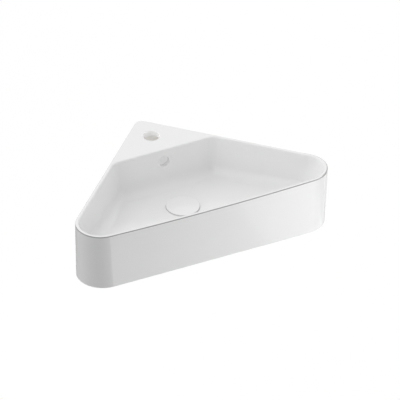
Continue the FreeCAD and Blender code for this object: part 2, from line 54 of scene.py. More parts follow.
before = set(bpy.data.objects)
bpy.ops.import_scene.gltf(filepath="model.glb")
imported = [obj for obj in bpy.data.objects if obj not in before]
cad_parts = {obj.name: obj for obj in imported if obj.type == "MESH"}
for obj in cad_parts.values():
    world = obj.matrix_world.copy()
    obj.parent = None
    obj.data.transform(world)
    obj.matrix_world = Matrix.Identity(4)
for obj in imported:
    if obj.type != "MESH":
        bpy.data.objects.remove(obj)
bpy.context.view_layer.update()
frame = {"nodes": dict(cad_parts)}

MM = 0.001
ROOT_HALF = math.sqrt(0.5)
UP = Vector((0, 0, 1))

# ---- places that come from the frame ---------------------------------------
COVER_LOW, COVER_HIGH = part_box("cover_cap")
WASTE_LOW, WASTE_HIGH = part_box("waste_body")
SPRING_LOW, SPRING_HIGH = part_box("return_spring")
NUT_BASE_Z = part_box("back_nut")[0].z
AXIS_Y = (COVER_LOW.y + COVER_HIGH.y) / 2
BASIN_HEIGHT = -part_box("basin_body")[0].z
COVER_R = COVER_HIGH.x
COVER_BASE_Z = COVER_LOW.z
FLANGE_R = WASTE_HIGH.x
FLANGE_TOP_Z = WASTE_HIGH.z
OUTLET_Z = WASTE_LOW.z
CROSS_TOP_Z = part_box("sleeve_washer")[0].z

# ---- the basin's form -------------------------------------------------------
TOP_DEPTH = 371.7 * MM
APRON_LEAN = 5.5 * MM       # how much further back its bottom edge is
APRON_R_TOP = 5.25          # radius of its bow in plan
APRON_R_BASE = 60.0
FRONT_CORNER_R_TOP = 53 * MM
FRONT_CORNER_R_BASE = 56 * MM
REAR_CORNER_R = 17 * MM
RIM_WIDTH = 7 * MM
SHELL_WALL = 8 * MM
SHELL_REAR_R = 10 * MM
CEILING_ROUND = 5 * MM
DECK_THICKNESS = 13 * MM
DECK_FRONT = 126.5 * MM
TAP_HOLE_BACK = 69 * MM
BOWL_WALL = 9 * MM
BOWL_TILT = math.radians(12)
BOWL_REAR_TILT = math.radians(11)
BOWL_FRONT_R = 46 * MM
BOWL_DECK_R = 27 * MM
BOWL_DEPTH = 86 * MM
FLOOR_SLOPE = math.tan(math.radians(2.8))
DRAIN_HOLE_R = 23 * MM
DRAIN_WALL = 8 * MM
DRAIN_BOSS_DEPTH = 26 * MM
DRAIN_BOSS_ROUND = 3 * MM
RECESS_DEPTH = 12 * MM
OVERFLOW_DEPTH = 27.6 * MM
OVERFLOW_WIDTH = 30 * MM
OVERFLOW_GAP = 14 * MM      # the duct's depth behind the hole
DUCT_HEADROOM = 12 * MM     # the duct's height over the hole's middle
DUCT_ROUND = 2 * MM
RUN_WIDTH = 20 * MM
RUN_HEIGHT = 12 * MM
RUN_DROP = 6 * MM
DUCT_WALL = 6 * MM
CASING_ROUND = 3 * MM
FIXING_ALONG = 240 * MM
FIXING_DEPTH = 100 * MM
FIXING_HOLE_R = 7 * MM
FIXING_PAD_R = 22 * MM
FIXING_PAD_DEPTH = 8 * MM
FIXING_PAD_ROUND = 2 * MM

FLOOR_Z = -BOWL_DEPTH
SEAT_Z = FLOOR_Z - RECESS_DEPTH
BOSS_Z = SEAT_Z - DRAIN_BOSS_DEPTH
RUN_TOP_Z = SEAT_Z - RUN_DROP
RUN_BASE_Z = RUN_TOP_Z - RUN_HEIGHT
DUCT_FRONT = BOWL_WALL - DECK_FRONT - OVERFLOW_DEPTH * math.tan(BOWL_REAR_TILT)
OVERLAP = 1 * MM            # how far a cutting shape runs past what it cuts
BOWL_REACH = 30 * MM        # how far the overflow's cutting shape runs into the bowl

# ---- the basin's finish --------------------------------------------------------
SLOT_COUNT = 3
GLAZE_SLOT = 0
BARE_SLOT = 1
HOLE_SLOT = 2
HOLE_GLOW = 0.2             # stands for the many reflections between a hole's white walls
DECK_GLOW = 0.19            # the same, for the narrow space under the deck
EDGE_LOW = -3.0 * MM        # where a dark line of painted shade lies on the front's outer edge
EDGE_HIGH = -0.7 * MM
EDGE_FADE = 0.4 * MM
EDGE_DEPTH = 2.3 * MM
EDGE_SUBDIVISIONS = 4
LEFT_EDGE = (-0.285, 20 * MM)       # where it starts on each side, and how soon it is full
RIGHT_EDGE = (-0.17, 25 * MM)
RIGHT_CORNER_X = 0.262      # right of this the painted shade reaches over the round onto the rim
# how dark the painted shade makes the glaze's colour, as a share of it
PAINTED_SHADE_TONE = 0.45
PAINTED_SIDE_SHADE = 0.3             # how much painted shade lies on the cover's upright side, for the shadow in the gap below its edge
SIDE_DEPTH = 0.4 * MM
UNDERSIDE_DEPTH = 0.1 * MM  # how near the bottom a face is bare
UNDERSIDE_TILT = -0.9       # and how far down it has to look

# ---- the waste's form --------------------------------------------------------
FLANGE_THICKNESS = 2.8 * MM
MOUTH_R = 20 * MM
MOUTH_DEPTH = 2 * MM
WASTE_BORE_R = 18 * MM
NECK_R = 20 * MM
THREAD_R = 20.955 * MM
THREAD_PITCH = 2.309 * MM
THREAD_DEPTH = 1.0 * MM
THREAD_TOP_Z = SEAT_Z - 24 * MM
GROOVE_ROOT = 0.08          # half the thread groove's width at its root, as a share of the pitch
GROOVE_MOUTH = 0.44         # and at its mouth
GROOVE_RISE = 0.6           # how far the mouth stands out of the tail, as a share of the depth
LEAD = 1.2 * MM             # slope at the thread's ends
RELIEF_DEPTH = 0.6 * MM
RELIEF_WIDTH = 1.2 * MM
RELIEF_TOP_Z = NUT_BASE_Z - 1 * MM
ARM_COUNT = 3
ARM_WIDTH = 4 * MM
ARM_ROUND = 0.6 * MM
SLOT_WIDTH = 14 * MM
SLOT_ROUND = 3 * MM
CROSS_HEIGHT = 8 * MM
CROSS_HUB_R = 13 * MM
CROSS_BORE_R = 9.65 * MM
TAPER_EDGE = 3 * MM
COLLAR_GAP = 0.3 * MM
COLLAR_GROOVE = 2.5 * MM
COLLAR_GROOVE_DEPTH = 0.4 * MM
COLLAR_SLOPE = 0.3 * MM
SEAL_LIP = 1.6 * MM
CARRIER_GAP = 0.05 * MM
NUT_FLATS = 54 * MM
NUT_CHAMFER = 1.2 * MM
NUT_THREAD_R = THREAD_R + 0.15 * MM
NUT_LEAD = 0.9 * MM
SPRING_R = 4.2 * MM
SPRING_WIRE_R = 0.5 * MM
SPRING_TURNS = 9
CLOSED_TURNS = 1            # at each end of the spring
CLOSED_PITCH = 2.1 * SPRING_WIRE_R

# ---- how finely outlines are drawn -----------------------------------------
REAR_STEPS = 12
LEG_STEPS = 16
CORNER_STEPS = 28
APRON_STEPS = 36
DECK_STEPS = 16
DECK_CORNER_STEPS = 12
ROUND_STEPS = 6
FLOOR_ROUND_STEPS = 14
FIXING_STEPS = 64
OVERFLOW_STEPS = 96
THREAD_STEPS = 48
SPRING_STEPS = 36
WIRE_STEPS = 12
TURNED_STEPS = 128
FLOOR_SHARES = (0.25, 0.5, 0.75)     # where outlines lie between the floor's foot and the cover
SHARP_ANGLE = math.radians(32)
CORNER_ROUND_STEPS = 4
MERGE = 1e-7                # points nearer than this are one
AXIS_MERGE = 1e-6           # and these on the axis of a turned shape
CORNER_SHARE = 0.48         # how much of a side a rounded corner may take


# ---- properties -------------------------------------------------------------
def length_property(name, description, default, low, high):
    """A length that a user may change, with its default and limits in millimetres."""
    return bpy.props.FloatProperty(name=name, description=description, default=default * MM,
                                   min=low * MM, max=high * MM, subtype="DISTANCE", unit="LENGTH")


def colour_property(name, description, default):
    """A colour that a user may change."""
    return bpy.props.FloatVectorProperty(name=name, description=description, default=default,
                                         size=3, min=0, max=1, subtype="COLOR")


class BasinSizes(bpy.types.PropertyGroup):
    """Sizes that may be changed without changing what the basin fits."""

    rim_round: length_property("Rim round", "Radius along the rim's two edges", 2.4, 0.5, 3)
    base_round: length_property("Base round", "Radius along the bottom edge", 1.5, 0.5, 3)
    floor_round: length_property("Floor round", "Radius at the foot of the bowl's walls", 26, 10, 26)
    recess_gap: length_property("Gap round the cover", "Gap between cover and bowl", 0.8, 0.5, 4)
    recess_round: length_property("Recess round", "Radius along the recess's edge", 1, 0.4, 2)
    tap_hole_radius: length_property("Tap hole radius", "Radius of the hole in the deck", 18.1, 10, 20)
    tap_round: length_property("Tap hole round", "Radius along the tap hole's edge", 0.5, 0.4, 3)
    overflow_radius: length_property("Overflow radius", "Radius of the overflow hole", 11.8, 8, 13)
    overflow_round: length_property("Overflow round", "Radius along the overflow's edge", 0.5, 0.4, 3)


class CoverSizes(bpy.types.PropertyGroup):
    """Sizes of the waste cover that don't change what it fits."""

    cover_lift: length_property("Thickening", "Glaze and clay over the cover's plain form", 2, 0, 3)
    cover_crown: length_property("Crown", "How far the dome rises above its edge", 1.2, 0.4, 3)
    cover_round: length_property("Edge round", "Radius along the cover's edge", 1, 0.5, 3)


class BasinColours(bpy.types.PropertyGroup):
    """Colours of the basin's materials, linear."""

    glaze: colour_property("Glaze", "The basin's glaze", (0.80, 0.80, 0.80))
    cover_glaze: colour_property("Cover glaze", "The waste cover's glaze", (0.81, 0.81, 0.81))
    biscuit: colour_property("Biscuit", "Unglazed clay underneath", (0.78, 0.765, 0.73))
    chrome: colour_property("Chrome", "The waste's plating", (0.78, 0.79, 0.80))
    brass: colour_property("Brass", "The nuts, the rod and the sleeve", (0.62, 0.43, 0.18))
    steel: colour_property("Steel", "The spring's wire", (0.52, 0.53, 0.54))
    rubber: colour_property("Rubber", "Seals and gaskets", (0.022, 0.022, 0.024))
    foam: colour_property("Foam", "The gasket under the flange", (0.06, 0.06, 0.065))
    nylon: colour_property("Nylon", "The slip washer", (0.72, 0.72, 0.68))
    acetal: colour_property("Acetal", "The cartridge's plastic pieces", (0.66, 0.66, 0.61))


# ---- outlines ---------------------------------------------------------------
def arc_points(centre, radius, start, end, steps):
    """Points along an arc in plan, angles in radians, without its last point."""
    points = []
    for step in range(steps):
        angle = start + (end - start) * step / steps
        points.append(centre + Vector((math.cos(angle), math.sin(angle), 0)) * radius)
    return points


def line_points(start, end, steps):
    """Points along a line, without its last point."""
    return [start.lerp(end, step / steps) for step in range(steps)]


def mirrored(point):
    """The point's likeness on the basin's other side."""
    return Vector((-point.x, point.y, point.z))


def quarter(radius):
    """Steps round an edge of this radius, as how far each point is from the edge's two sides."""
    for step in range(ROUND_STEPS + 1):
        angle = math.pi / 2 * step / ROUND_STEPS
        yield radius * (1 - math.sin(angle)), radius * (1 - math.cos(angle))


def apron_at(z):
    """Depth and plan radius of the apron at a height."""
    share = -z / BASIN_HEIGHT
    depth = TOP_DEPTH - share * APRON_LEAN
    curve = 1 / APRON_R_TOP + share * (1 / APRON_R_BASE - 1 / APRON_R_TOP)
    return depth, 1 / curve


def front_points(inset, radius, z):
    """The outline from the end of the right wall round the front to the end of the left one."""
    depth, big = apron_at(z)
    big_y = big - depth
    reach = (inset + radius) / ROOT_HALF
    offset = reach + big_y
    gap = big - inset - radius
    x = (math.sqrt(2 * gap ** 2 - offset ** 2) - offset) / 2
    centre = Vector((x, -reach - x, z))
    big_centre = Vector((0, big_y, z))
    turn = math.atan2(centre.y - big_y, x)
    right = arc_points(centre, radius, math.pi / 4, turn, CORNER_STEPS)
    nose = arc_points(big_centre, big - inset, turn, -math.pi - turn, APRON_STEPS)
    left = arc_points(mirrored(centre), radius, -math.pi - turn, -math.pi * 5 / 4, CORNER_STEPS)
    left_end = mirrored(right[0])
    return right + nose + left, left_end


def shell_points(inset, rear_radius, z):
    """The basin's outline at a height, moved in from its outer face."""
    share = -z / BASIN_HEIGHT
    corner = FRONT_CORNER_R_TOP + share * (FRONT_CORNER_R_BASE - FRONT_CORNER_R_TOP)
    centre = Vector((0, -(inset + rear_radius) / ROOT_HALF, z))
    rear = arc_points(centre, rear_radius, math.pi * 3 / 4, math.pi / 4, REAR_STEPS)
    front, left_end = front_points(inset, corner - inset, z)
    right_start = centre + Vector((ROOT_HALF, ROOT_HALF, 0)) * rear_radius
    right_leg = line_points(right_start, front[0], LEG_STEPS)
    left_leg = line_points(left_end, rear[0], LEG_STEPS)
    return rear + right_leg + front + left_leg


def inward(z, tilt, floor_z, floor_round):
    """How far a tilted wall has come in at a height, with the round at its foot."""
    start = floor_z + floor_round * (1 - math.sin(tilt))
    if z >= start:
        return -z * math.tan(tilt), 0
    middle = -start * math.tan(tilt) + floor_round * math.cos(tilt)
    drop = floor_z + floor_round - z
    here = middle - math.sqrt(max(floor_round ** 2 - drop ** 2, 0))
    return here, here + start * math.tan(tilt)


def bowl_points(grow, flare, z, floor_round):
    """The bowl's outline at a height, with a flat floor; grow is its wall, flare its rim's round."""
    floor_z = FLOOR_Z - grow
    side_in, side_bend = inward(z, BOWL_TILT, floor_z, floor_round + grow)
    rear_in, rear_bend = inward(z, BOWL_REAR_TILT, floor_z, floor_round + grow)
    inset = RIM_WIDTH - grow - flare + side_in
    distance = DECK_FRONT - grow - flare + rear_in
    deck_r = BOWL_DECK_R + grow + flare - rear_bend
    centre = Vector((deck_r + distance - (inset + deck_r) / ROOT_HALF, -distance - deck_r, z))
    start = Vector((centre.x, -distance, z))
    right = arc_points(centre, deck_r, math.pi / 2, math.pi / 4, DECK_CORNER_STEPS)
    left = arc_points(mirrored(centre), deck_r, math.pi * 3 / 4, math.pi / 2, DECK_CORNER_STEPS)
    deck = line_points(mirrored(start), start, DECK_STEPS)
    front, left_end = front_points(inset, BOWL_FRONT_R + grow + flare - side_bend, z)
    right_end = centre + Vector((ROOT_HALF, ROOT_HALF, 0)) * deck_r
    right_leg = line_points(right_end, front[0], LEG_STEPS)
    left_leg = line_points(left_end, left[0], LEG_STEPS)
    return left + deck + right + right_leg + front + left_leg


# ---- mesh tools --------------------------------------------------------------
def ring(mesh, points):
    """A closed ring of edges through these points."""
    made = bmesh.ops.create_circle(mesh, radius=1, segments=len(points))
    for vertex, point in zip(made["verts"], points):
        vertex.co = point
    return list({edge for vertex in made["verts"] for edge in vertex.link_edges})


def lofted(outlines):
    """Skins a stack of outlines of equal count and closes both ends."""
    mesh = bmesh.new()
    rings = [ring(mesh, points) for points in outlines]
    for near, far in zip(rings, rings[1:]):
        bmesh.ops.bridge_loops(mesh, edges=near + far)
    for end in (rings[0], rings[-1]):
        bmesh.ops.contextual_create(mesh, geom=end)
    return mesh


def chain(mesh, profile):
    """Open chain of edges through (radius, z) points beside the waste's axis."""
    verts = [mesh.verts.new((radius, AXIS_Y, z)) for radius, z in profile]
    return verts + [mesh.edges.new(pair) for pair in zip(verts, verts[1:])]


def turned(profile, steps=TURNED_STEPS, closed=False):
    """Spins a profile about the waste's axis."""
    mesh = bmesh.new()
    geom = chain(mesh, profile)
    if closed:
        geom.append(mesh.edges.new((geom[len(profile) - 1], geom[0])))
    bmesh.ops.spin(mesh, geom=geom, cent=(0, AXIS_Y, 0), axis=UP, angle=math.tau,
                   steps=steps, use_merge=True)
    bmesh.ops.remove_doubles(mesh, verts=mesh.verts, dist=AXIS_MERGE)
    return mesh


def box(mesh, low, high):
    """A block between two corners."""
    low, high = Vector(low), Vector(high)
    place = Matrix.Translation((low + high) / 2) @ Matrix.Diagonal((*(high - low), 1))
    bmesh.ops.create_cube(mesh, size=1, matrix=place)


def bevelled(mesh, edges, width, segments=4):
    """Rounds some edges of a mesh."""
    bmesh.ops.bevel(mesh, geom=edges, offset=width, offset_type="OFFSET", affect="EDGES",
                    segments=segments, profile=0.5, material=-1, clamp_overlap=True)


def turn_round(mesh, angle):
    """Turns a whole mesh about the waste's axis."""
    bmesh.ops.rotate(mesh, verts=mesh.verts, cent=(0, AXIS_Y, 0),
                     matrix=Matrix.Rotation(angle, 3, "Z"))


def made_object(name, mesh):
    """Turns a bmesh into an object at the origin."""
    data = bpy.data.meshes.new(name)
    mesh.to_mesh(data)
    mesh.free()
    made = bpy.data.objects.new(name, data)
    bpy.context.scene.collection.objects.link(made)
    return made


def solid(name, mesh):
    """A closed shape as an object, with doubles merged and faces turned outward."""
    bmesh.ops.remove_doubles(mesh, verts=mesh.verts, dist=MERGE)
    bmesh.ops.recalc_face_normals(mesh, faces=mesh.faces)
    return made_object(name, mesh)


def soft_block(name, low, high, softness):
    """A block between two corners with all its edges rounded."""
    mesh = bmesh.new()
    box(mesh, low, high)
    bevelled(mesh, list(mesh.edges), softness)
    return solid(name, mesh)


def carved(body, cutters, operation="DIFFERENCE"):
    """Takes other closed shapes out of a body, or adds them to it, and removes them."""
    group = bpy.data.collections.new("cutters")
    bpy.context.scene.collection.children.link(group)
    for cutter in cutters:
        group.objects.link(cutter)
    cut = body.modifiers.new("Carve", "BOOLEAN")
    cut.operation = operation
    cut.operand_type = "COLLECTION"
    cut.collection = group
    cut.solver = "MANIFOLD"
    cut.material_mode = "INDEX"
    bpy.context.view_layer.update()
    evaluated = body.evaluated_get(bpy.context.evaluated_depsgraph_get())
    carved_mesh = bpy.data.meshes.new_from_object(evaluated)
    body.modifiers.clear()
    body.data = carved_mesh
    for cutter in cutters:
        bpy.data.objects.remove(cutter)
    bpy.data.collections.remove(group)
    return body


# ---- the basin --------------------------------------------------------------
def outer_form(sizes):
    """The basin's outside, closed at the top and the bottom."""
    outlines = []
    for inset, rise in quarter(sizes.base_round):
        outlines.append(shell_points(inset, REAR_CORNER_R - inset, rise - BASIN_HEIGHT))
    low, high = sizes.base_round - BASIN_HEIGHT, -sizes.rim_round
    for step in range(1, ROUND_STEPS):
        z = low + (high - low) * step / ROUND_STEPS
        outlines.append(shell_points(0, REAR_CORNER_R, z))
    for drop, inset in quarter(sizes.rim_round):
        outlines.append(shell_points(inset, REAR_CORNER_R - inset, -drop))
    return solid("outer_form", lofted(outlines))


def space_form():
    """The open space under the basin, before the bowl takes its share."""
    outlines = []
    low, high = -BASIN_HEIGHT - OVERLAP, -DECK_THICKNESS - CEILING_ROUND
    for step in range(ROUND_STEPS):
        z = low + (high - low) * step / ROUND_STEPS
        outlines.append(shell_points(SHELL_WALL, SHELL_REAR_R, z))
    for drop, inset in quarter(CEILING_ROUND):
        outlines.append(shell_points(SHELL_WALL + inset, SHELL_REAR_R - inset, -DECK_THICKNESS - drop))
    return solid("space_form", lofted(outlines))


def floor_lift(point):
    """How much the floor has risen at a point, on its slope away from the waste."""
    return max((Vector((point.x, point.y - AXIS_Y, 0)).length - COVER_R) * FLOOR_SLOPE, 0)


def bowl_walls(grow, floor_round):
    """The bowl's outlines from under its rim down to its foot, lifted by the floor's slope."""
    floor_z = FLOOR_Z - grow
    soft = floor_round + grow
    bend_top = floor_z + soft * (1 - math.sin(BOWL_TILT))
    heights = [(bend_top * step / ROUND_STEPS, step / ROUND_STEPS) for step in range(1, ROUND_STEPS)]
    for step in range(FLOOR_ROUND_STEPS + 1):
        angle = BOWL_TILT + (math.pi / 2 - BOWL_TILT) * step / FLOOR_ROUND_STEPS
        heights.append((floor_z + soft * (1 - math.sin(angle)), 1))
    upper = bowl_points(grow, 0, 0, floor_round)
    lower = bowl_points(grow, 0, bend_top, floor_round)
    slopes = [(high - low) / -bend_top for high, low in zip(upper, lower)]
    outlines = []
    for z, share in heights:
        moved = []
        for point, slope in zip(bowl_points(grow, 0, z, floor_round), slopes):
            lift = floor_lift(point) * share
            shifted = point + slope * lift
            moved.append(Vector((shifted.x, shifted.y, z + lift)))
        outlines.append(moved)
    return outlines


def bowl_floor(foot, floor_z):
    """Outlines across the bowl's floor, from its foot to a ring under the cover."""
    centre = Vector((0, AXIS_Y, floor_z))
    aways = [Vector((point.x, point.y - AXIS_Y, 0)).normalized() for point in foot]
    rim = [centre + away * COVER_R for away in aways]
    outlines = []
    for share in FLOOR_SHARES:
        between = []
        for near, far in zip(rim, foot):
            point = far.lerp(near, share)
            between.append(Vector((point.x, point.y, floor_z + floor_lift(point))))
        outlines.append(between)
    return outlines + [rim, [centre + away * COVER_R / 2 for away in aways]]


def bowl_form(name, sizes, grow, flare=0.0):
    """The bowl's hollow, flared at the rim, or with a wall's growth its outside."""
    top = bowl_points(grow, flare, 0, sizes.floor_round)
    outlines = [[Vector((point.x, point.y, OVERLAP)) for point in top]]
    if flare:
        for out, drop in quarter(flare):
            outlines.append(bowl_points(grow, out, -drop, sizes.floor_round))
    outlines += bowl_walls(grow, sizes.floor_round)
    outlines += bowl_floor(outlines[-1], FLOOR_Z - grow)
    return solid(name, lofted(outlines))


def boss_form(radius):
    """The drain boss under the bowl."""
    profile = [(0, FLOOR_Z - OVERLAP), (radius, FLOOR_Z - OVERLAP)]
    profile += [(radius - inset, BOSS_Z + rise) for rise, inset in quarter(DRAIN_BOSS_ROUND)]
    profile.append((0, BOSS_Z))
    return solid("boss_form", turned(profile))


def duct_form(wall, softness):
    """The overflow's way behind and under the bowl, or with a wall its casing."""
    base = RUN_BASE_Z - wall
    rear = DUCT_FRONT + OVERFLOW_GAP + wall
    if wall:
        front, top = DUCT_FRONT - BOWL_WALL, -DECK_THICKNESS + 2 * OVERLAP
        run_rear, run_top = rear - 2 * softness, FLOOR_Z - OVERLAP
    else:
        front, top = DUCT_FRONT, DUCT_HEADROOM - OVERFLOW_DEPTH
        run_rear, run_top = rear - softness, RUN_TOP_Z
    side = OVERFLOW_WIDTH / 2 + wall
    half = RUN_WIDTH / 2 + wall
    return [
        soft_block("duct_drop", (-side, front, base), (side, rear, top), softness),
        soft_block("duct_run", (-half, AXIS_Y, base), (half, run_rear, run_top), softness),
    ]


def leg_frame(side, inward_by):
    """Where a fixing's axis leaves the wall face, and the turn that lays +Z along it into the basin."""
    start = Vector((side * FIXING_ALONG * ROOT_HALF, -FIXING_ALONG * ROOT_HALF, -FIXING_DEPTH))
    way = Vector((-side * ROOT_HALF, -ROOT_HALF, 0))
    return Matrix.Translation(start + way * inward_by) @ way.to_track_quat("Z", "Y").to_matrix().to_4x4()


def fixing_form(side, radius, near, far, softness=0.0):
    """A round pad or hole on a fixing's axis, between two distances from the wall face."""
    mesh = bmesh.new()
    place = leg_frame(side, (near + far) / 2)
    bmesh.ops.create_cone(mesh, cap_ends=True, segments=FIXING_STEPS, radius1=radius, radius2=radius,
                          depth=far - near, matrix=place)
    if softness:
        rims = [edge for edge in mesh.edges if any(len(face.verts) > 4 for face in edge.link_faces)]
        bevelled(mesh, rims, softness)
    return solid("fixing_form", mesh)


def recess_form(sizes):
    """The cover's recess and the drain hole."""
    radius = COVER_R + sizes.recess_gap
    top = FLOOR_Z + RECESS_DEPTH
    profile = [(0, top), (radius + sizes.recess_round, top)]
    profile += [(radius + out, FLOOR_Z - drop) for out, drop in quarter(sizes.recess_round)]
    profile += [(radius, SEAT_Z), (DRAIN_HOLE_R, SEAT_Z), (DRAIN_HOLE_R, BOSS_Z - OVERLAP)]
    profile.append((0, BOSS_Z - OVERLAP))
    return solid("recess_form", turned(profile))


def tap_form(sizes):
    """The tap hole, rounded at its top edge."""
    radius = sizes.tap_hole_radius
    profile = [(0, OVERLAP), (radius + sizes.tap_round, OVERLAP)]
    profile += [(radius + out, -drop) for out, drop in quarter(sizes.tap_round)]
    profile += [(radius, -DECK_THICKNESS - OVERLAP), (0, -DECK_THICKNESS - OVERLAP)]
    mesh = turned(profile)
    bmesh.ops.translate(mesh, verts=mesh.verts, vec=(0, -TAP_HOLE_BACK - AXIS_Y, 0))
    return solid("tap_form", mesh)


def overflow_ring(radius, wall_depth=None, flat_y=0.0):
    """A ring of the overflow hole, at a depth behind the tilted wall or else in an upright plane."""
    points = []
    for step in range(OVERFLOW_STEPS):
        angle = math.tau * step / OVERFLOW_STEPS
        z = radius * math.sin(angle) - OVERFLOW_DEPTH
        y = flat_y if wall_depth is None else z * math.tan(BOWL_REAR_TILT) - DECK_FRONT + wall_depth
        points.append(Vector((radius * math.cos(angle), y, z)))
    return points


def overflow_form(sizes):
    """The overflow hole, rounded where it leaves the tilted wall."""
    radius = sizes.overflow_radius
    outlines = [overflow_ring(radius + sizes.overflow_round, flat_y=-DECK_FRONT - BOWL_REACH)]
    outlines += [overflow_ring(radius + out, depth) for out, depth in quarter(sizes.overflow_round)]
    outlines.append(overflow_ring(radius, flat_y=DUCT_FRONT + OVERFLOW_GAP / 2))
    return solid("overflow_form", lofted(outlines))


def basin_form(sizes):
    """The whole ceramic body, carved from its outer form."""
    pad_end = SHELL_WALL + FIXING_PAD_DEPTH
    kept = [bowl_form("bowl_outside", sizes, BOWL_WALL)]
    kept.append(boss_form(COVER_R + sizes.recess_gap + DRAIN_WALL))
    kept += duct_form(DUCT_WALL, CASING_ROUND)
    for side in (-1, 1):
        kept.append(fixing_form(side, FIXING_PAD_R, OVERLAP, pad_end, FIXING_PAD_ROUND))
    hollow = marked(carved(space_form(), kept), BARE_SLOT)
    cutters = [hollow, bowl_form("bowl_inside", sizes, 0, sizes.rim_round), overflow_form(sizes)]
    # the holes' faces take the hole glaze, whose emission paints light into them
    for hole in (tap_form(sizes), recess_form(sizes), *duct_form(0, DUCT_ROUND)):
        cutters.append(marked(hole, HOLE_SLOT))
    for side in (-1, 1):
        cutters.append(fixing_form(side, FIXING_HOLE_R, -OVERLAP, pad_end + OVERLAP))
    return carved(marked(outer_form(sizes), GLAZE_SLOT), cutters)


# ---- finishing a piece ---------------------------------------------------------
def marked(piece, slot):
    """Marks a cutting shape, so that the faces that it leaves have that material slot."""
    for _ in range(SLOT_COUNT):
        piece.data.materials.append(None)
    for face in piece.data.polygons:
        face.material_index = slot
    return piece


def mark_underside(piece):
    """Leaves the glaze off the ring that the basin stands on in the kiln."""
    for face in piece.data.polygons:
        if face.center.z < UNDERSIDE_DEPTH - BASIN_HEIGHT and face.normal.z < UNDERSIDE_TILT:
            face.material_index = BARE_SLOT


def mark_painted_edge_shade(piece):
    """Writes painted shade, a dark line along the front's outer top edge: 1 there, 0 elsewhere."""
    outline = shell_points(0, REAR_CORNER_R, 0)
    tree = KDTree(len(outline) * EDGE_SUBDIVISIONS)
    for near, far in zip(outline, outline[1:] + outline[:1]):
        for point in line_points(near, far, EDGE_SUBDIVISIONS):
            tree.insert(point, 0)
    tree.balance()
    shade_amount = piece.data.attributes.new("painted_shade", "FLOAT", "POINT")
    for vertex, value in zip(piece.data.vertices, shade_amount.data):
        place = vertex.co
        start, fade = RIGHT_EDGE if place.x > 0 else LEFT_EDGE
        highest = 0 if place.x > RIGHT_CORNER_X else EDGE_HIGH
        if not EDGE_LOW < place.z <= highest or place.y > start:
            continue
        distance = tree.find((place.x, place.y, 0))[2]
        if distance < EDGE_DEPTH:
            value.value = min((start - place.y) / fade, 1)


def mark_painted_side_shade(piece):
    """Writes painted shade on the cover's upright side, for the shadow in the gap below its edge."""
    shade_amount = piece.data.attributes.new("painted_shade", "FLOAT", "POINT")
    for vertex, value in zip(piece.data.vertices, shade_amount.data):
        reach = Vector((vertex.co.x, vertex.co.y - AXIS_Y, 0)).length
        value.value = PAINTED_SIDE_SHADE if reach > COVER_R - SIDE_DEPTH else 0


def smoothed(piece):
    """Shades a piece smooth, but not across its sharp edges."""
    piece.data.shade_smooth()
    piece.data.set_sharp_from_angle(angle=SHARP_ANGLE)
    piece.modifiers.new("Even shading", "WEIGHTED_NORMAL").keep_sharp = True


def fitted(piece, body, slot, node, *finishes):
    """Lets a piece stand for a node of the frame, ride on its body and take its finish."""
    marks = [face.material_index for face in piece.data.polygons]
    piece.data.materials.clear()
    for finish in finishes:
        piece.data.materials.append(finish)
    piece.data.polygons.foreach_set("material_index", marks)
    smoothed(piece)
    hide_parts(node)
    if body:
        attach(piece, body)


# ---- materials -------------------------------------------------------------------
class Wire:
    """One output of a shader node, which takes part in Python arithmetic."""

    def __init__(self, tree, socket=None):
        self.tree = tree
        self.socket = socket

    def node(self, kind, inputs, output=0, **settings):
        """Adds any node to the same tree, sets and links it, and gives one of its outputs."""
        made = self.tree.nodes.new("ShaderNode" + kind)
        for name, value in settings.items():
            setattr(made, name, value)
        for name, value in inputs.items():
            if isinstance(value, Wire):
                self.tree.links.new(value.socket, made.inputs[name])
            else:
                made.inputs[name].default_value = value
        return Wire(self.tree, made.outputs[output])

    def maths(self, operation, *values):
        return self.node("Math", dict(enumerate(values)), operation=operation)

    def __add__(self, other):
        return self.maths("ADD", self, other)

    def __radd__(self, other):
        return self.maths("ADD", other, self)

    def __sub__(self, other):
        return self.maths("SUBTRACT", self, other)

    def __rsub__(self, other):
        return self.maths("SUBTRACT", other, self)

    def __mul__(self, other):
        return self.maths("MULTIPLY", self, other)

    def __rmul__(self, other):
        return self.maths("MULTIPLY", other, self)

    def clear(self, low, high):
        """0 below low, 1 above high, and smooth between."""
        return self.node("MapRange", {"Value": self, "From Min": low, "From Max": high},
                         interpolation_type="SMOOTHSTEP")


class Finish:
    """A material under construction: object coordinates, and a Principled shader to feed."""

    def __init__(self, name):
        self.material = bpy.data.materials.new(name)
        self.material.use_nodes = True
        tree = self.material.node_tree
        self.shader = tree.nodes["Principled BSDF"]
        self.start = Wire(tree)
        self.place = self.start.node("TexCoord", {}, output="Object")
        split = self.start.node("SeparateXYZ", {0: self.place})
        self.x, self.y, self.z = [Wire(tree, socket) for socket in split.socket.node.outputs]

    def noise(self, size, detail=2.0, roughness=0.5, stretch=None, distortion=0.0):
        """Noise from 0 to 1 with features of about this size in metres."""
        place = self.place
        if stretch:
            place = self.start.node("VectorMath", {0: place, 1: stretch}, operation="MULTIPLY")
        return self.start.node("TexNoise", {
            "Vector": place, "Scale": 1 / size, "Detail": detail,
            "Roughness": roughness, "Distortion": distortion})

    def cells(self, size):
        """How far each place is from the middle of its cell, for cells of about this size."""
        return self.start.node("TexVoronoi", {"Vector": self.place, "Scale": 1 / size},
                               output="Distance")

    def mix(self, share, low, high):
        """A colour between two others, each plain or a wire."""
        low, high = [end if isinstance(end, Wire) else (*end, 1) for end in (low, high)]
        return self.start.node("Mix", {0: share, 6: low, 7: high}, output=2, data_type="RGBA")

    def bump(self, height, depth):
        """A normal that follows a height from 0 to 1, this deep in metres."""
        return self.start.node("Bump", {"Height": height, "Distance": depth, "Strength": 1.0})

    def done(self, **values):
        """Feeds the shader: wires are linked, plain values are set on its sockets."""
        for name, value in values.items():
            socket = self.shader.inputs[name.replace("_", " ")]
            if isinstance(value, Wire):
                self.start.tree.links.new(value.socket, socket)
            else:
                socket.default_value = value
        return self.material


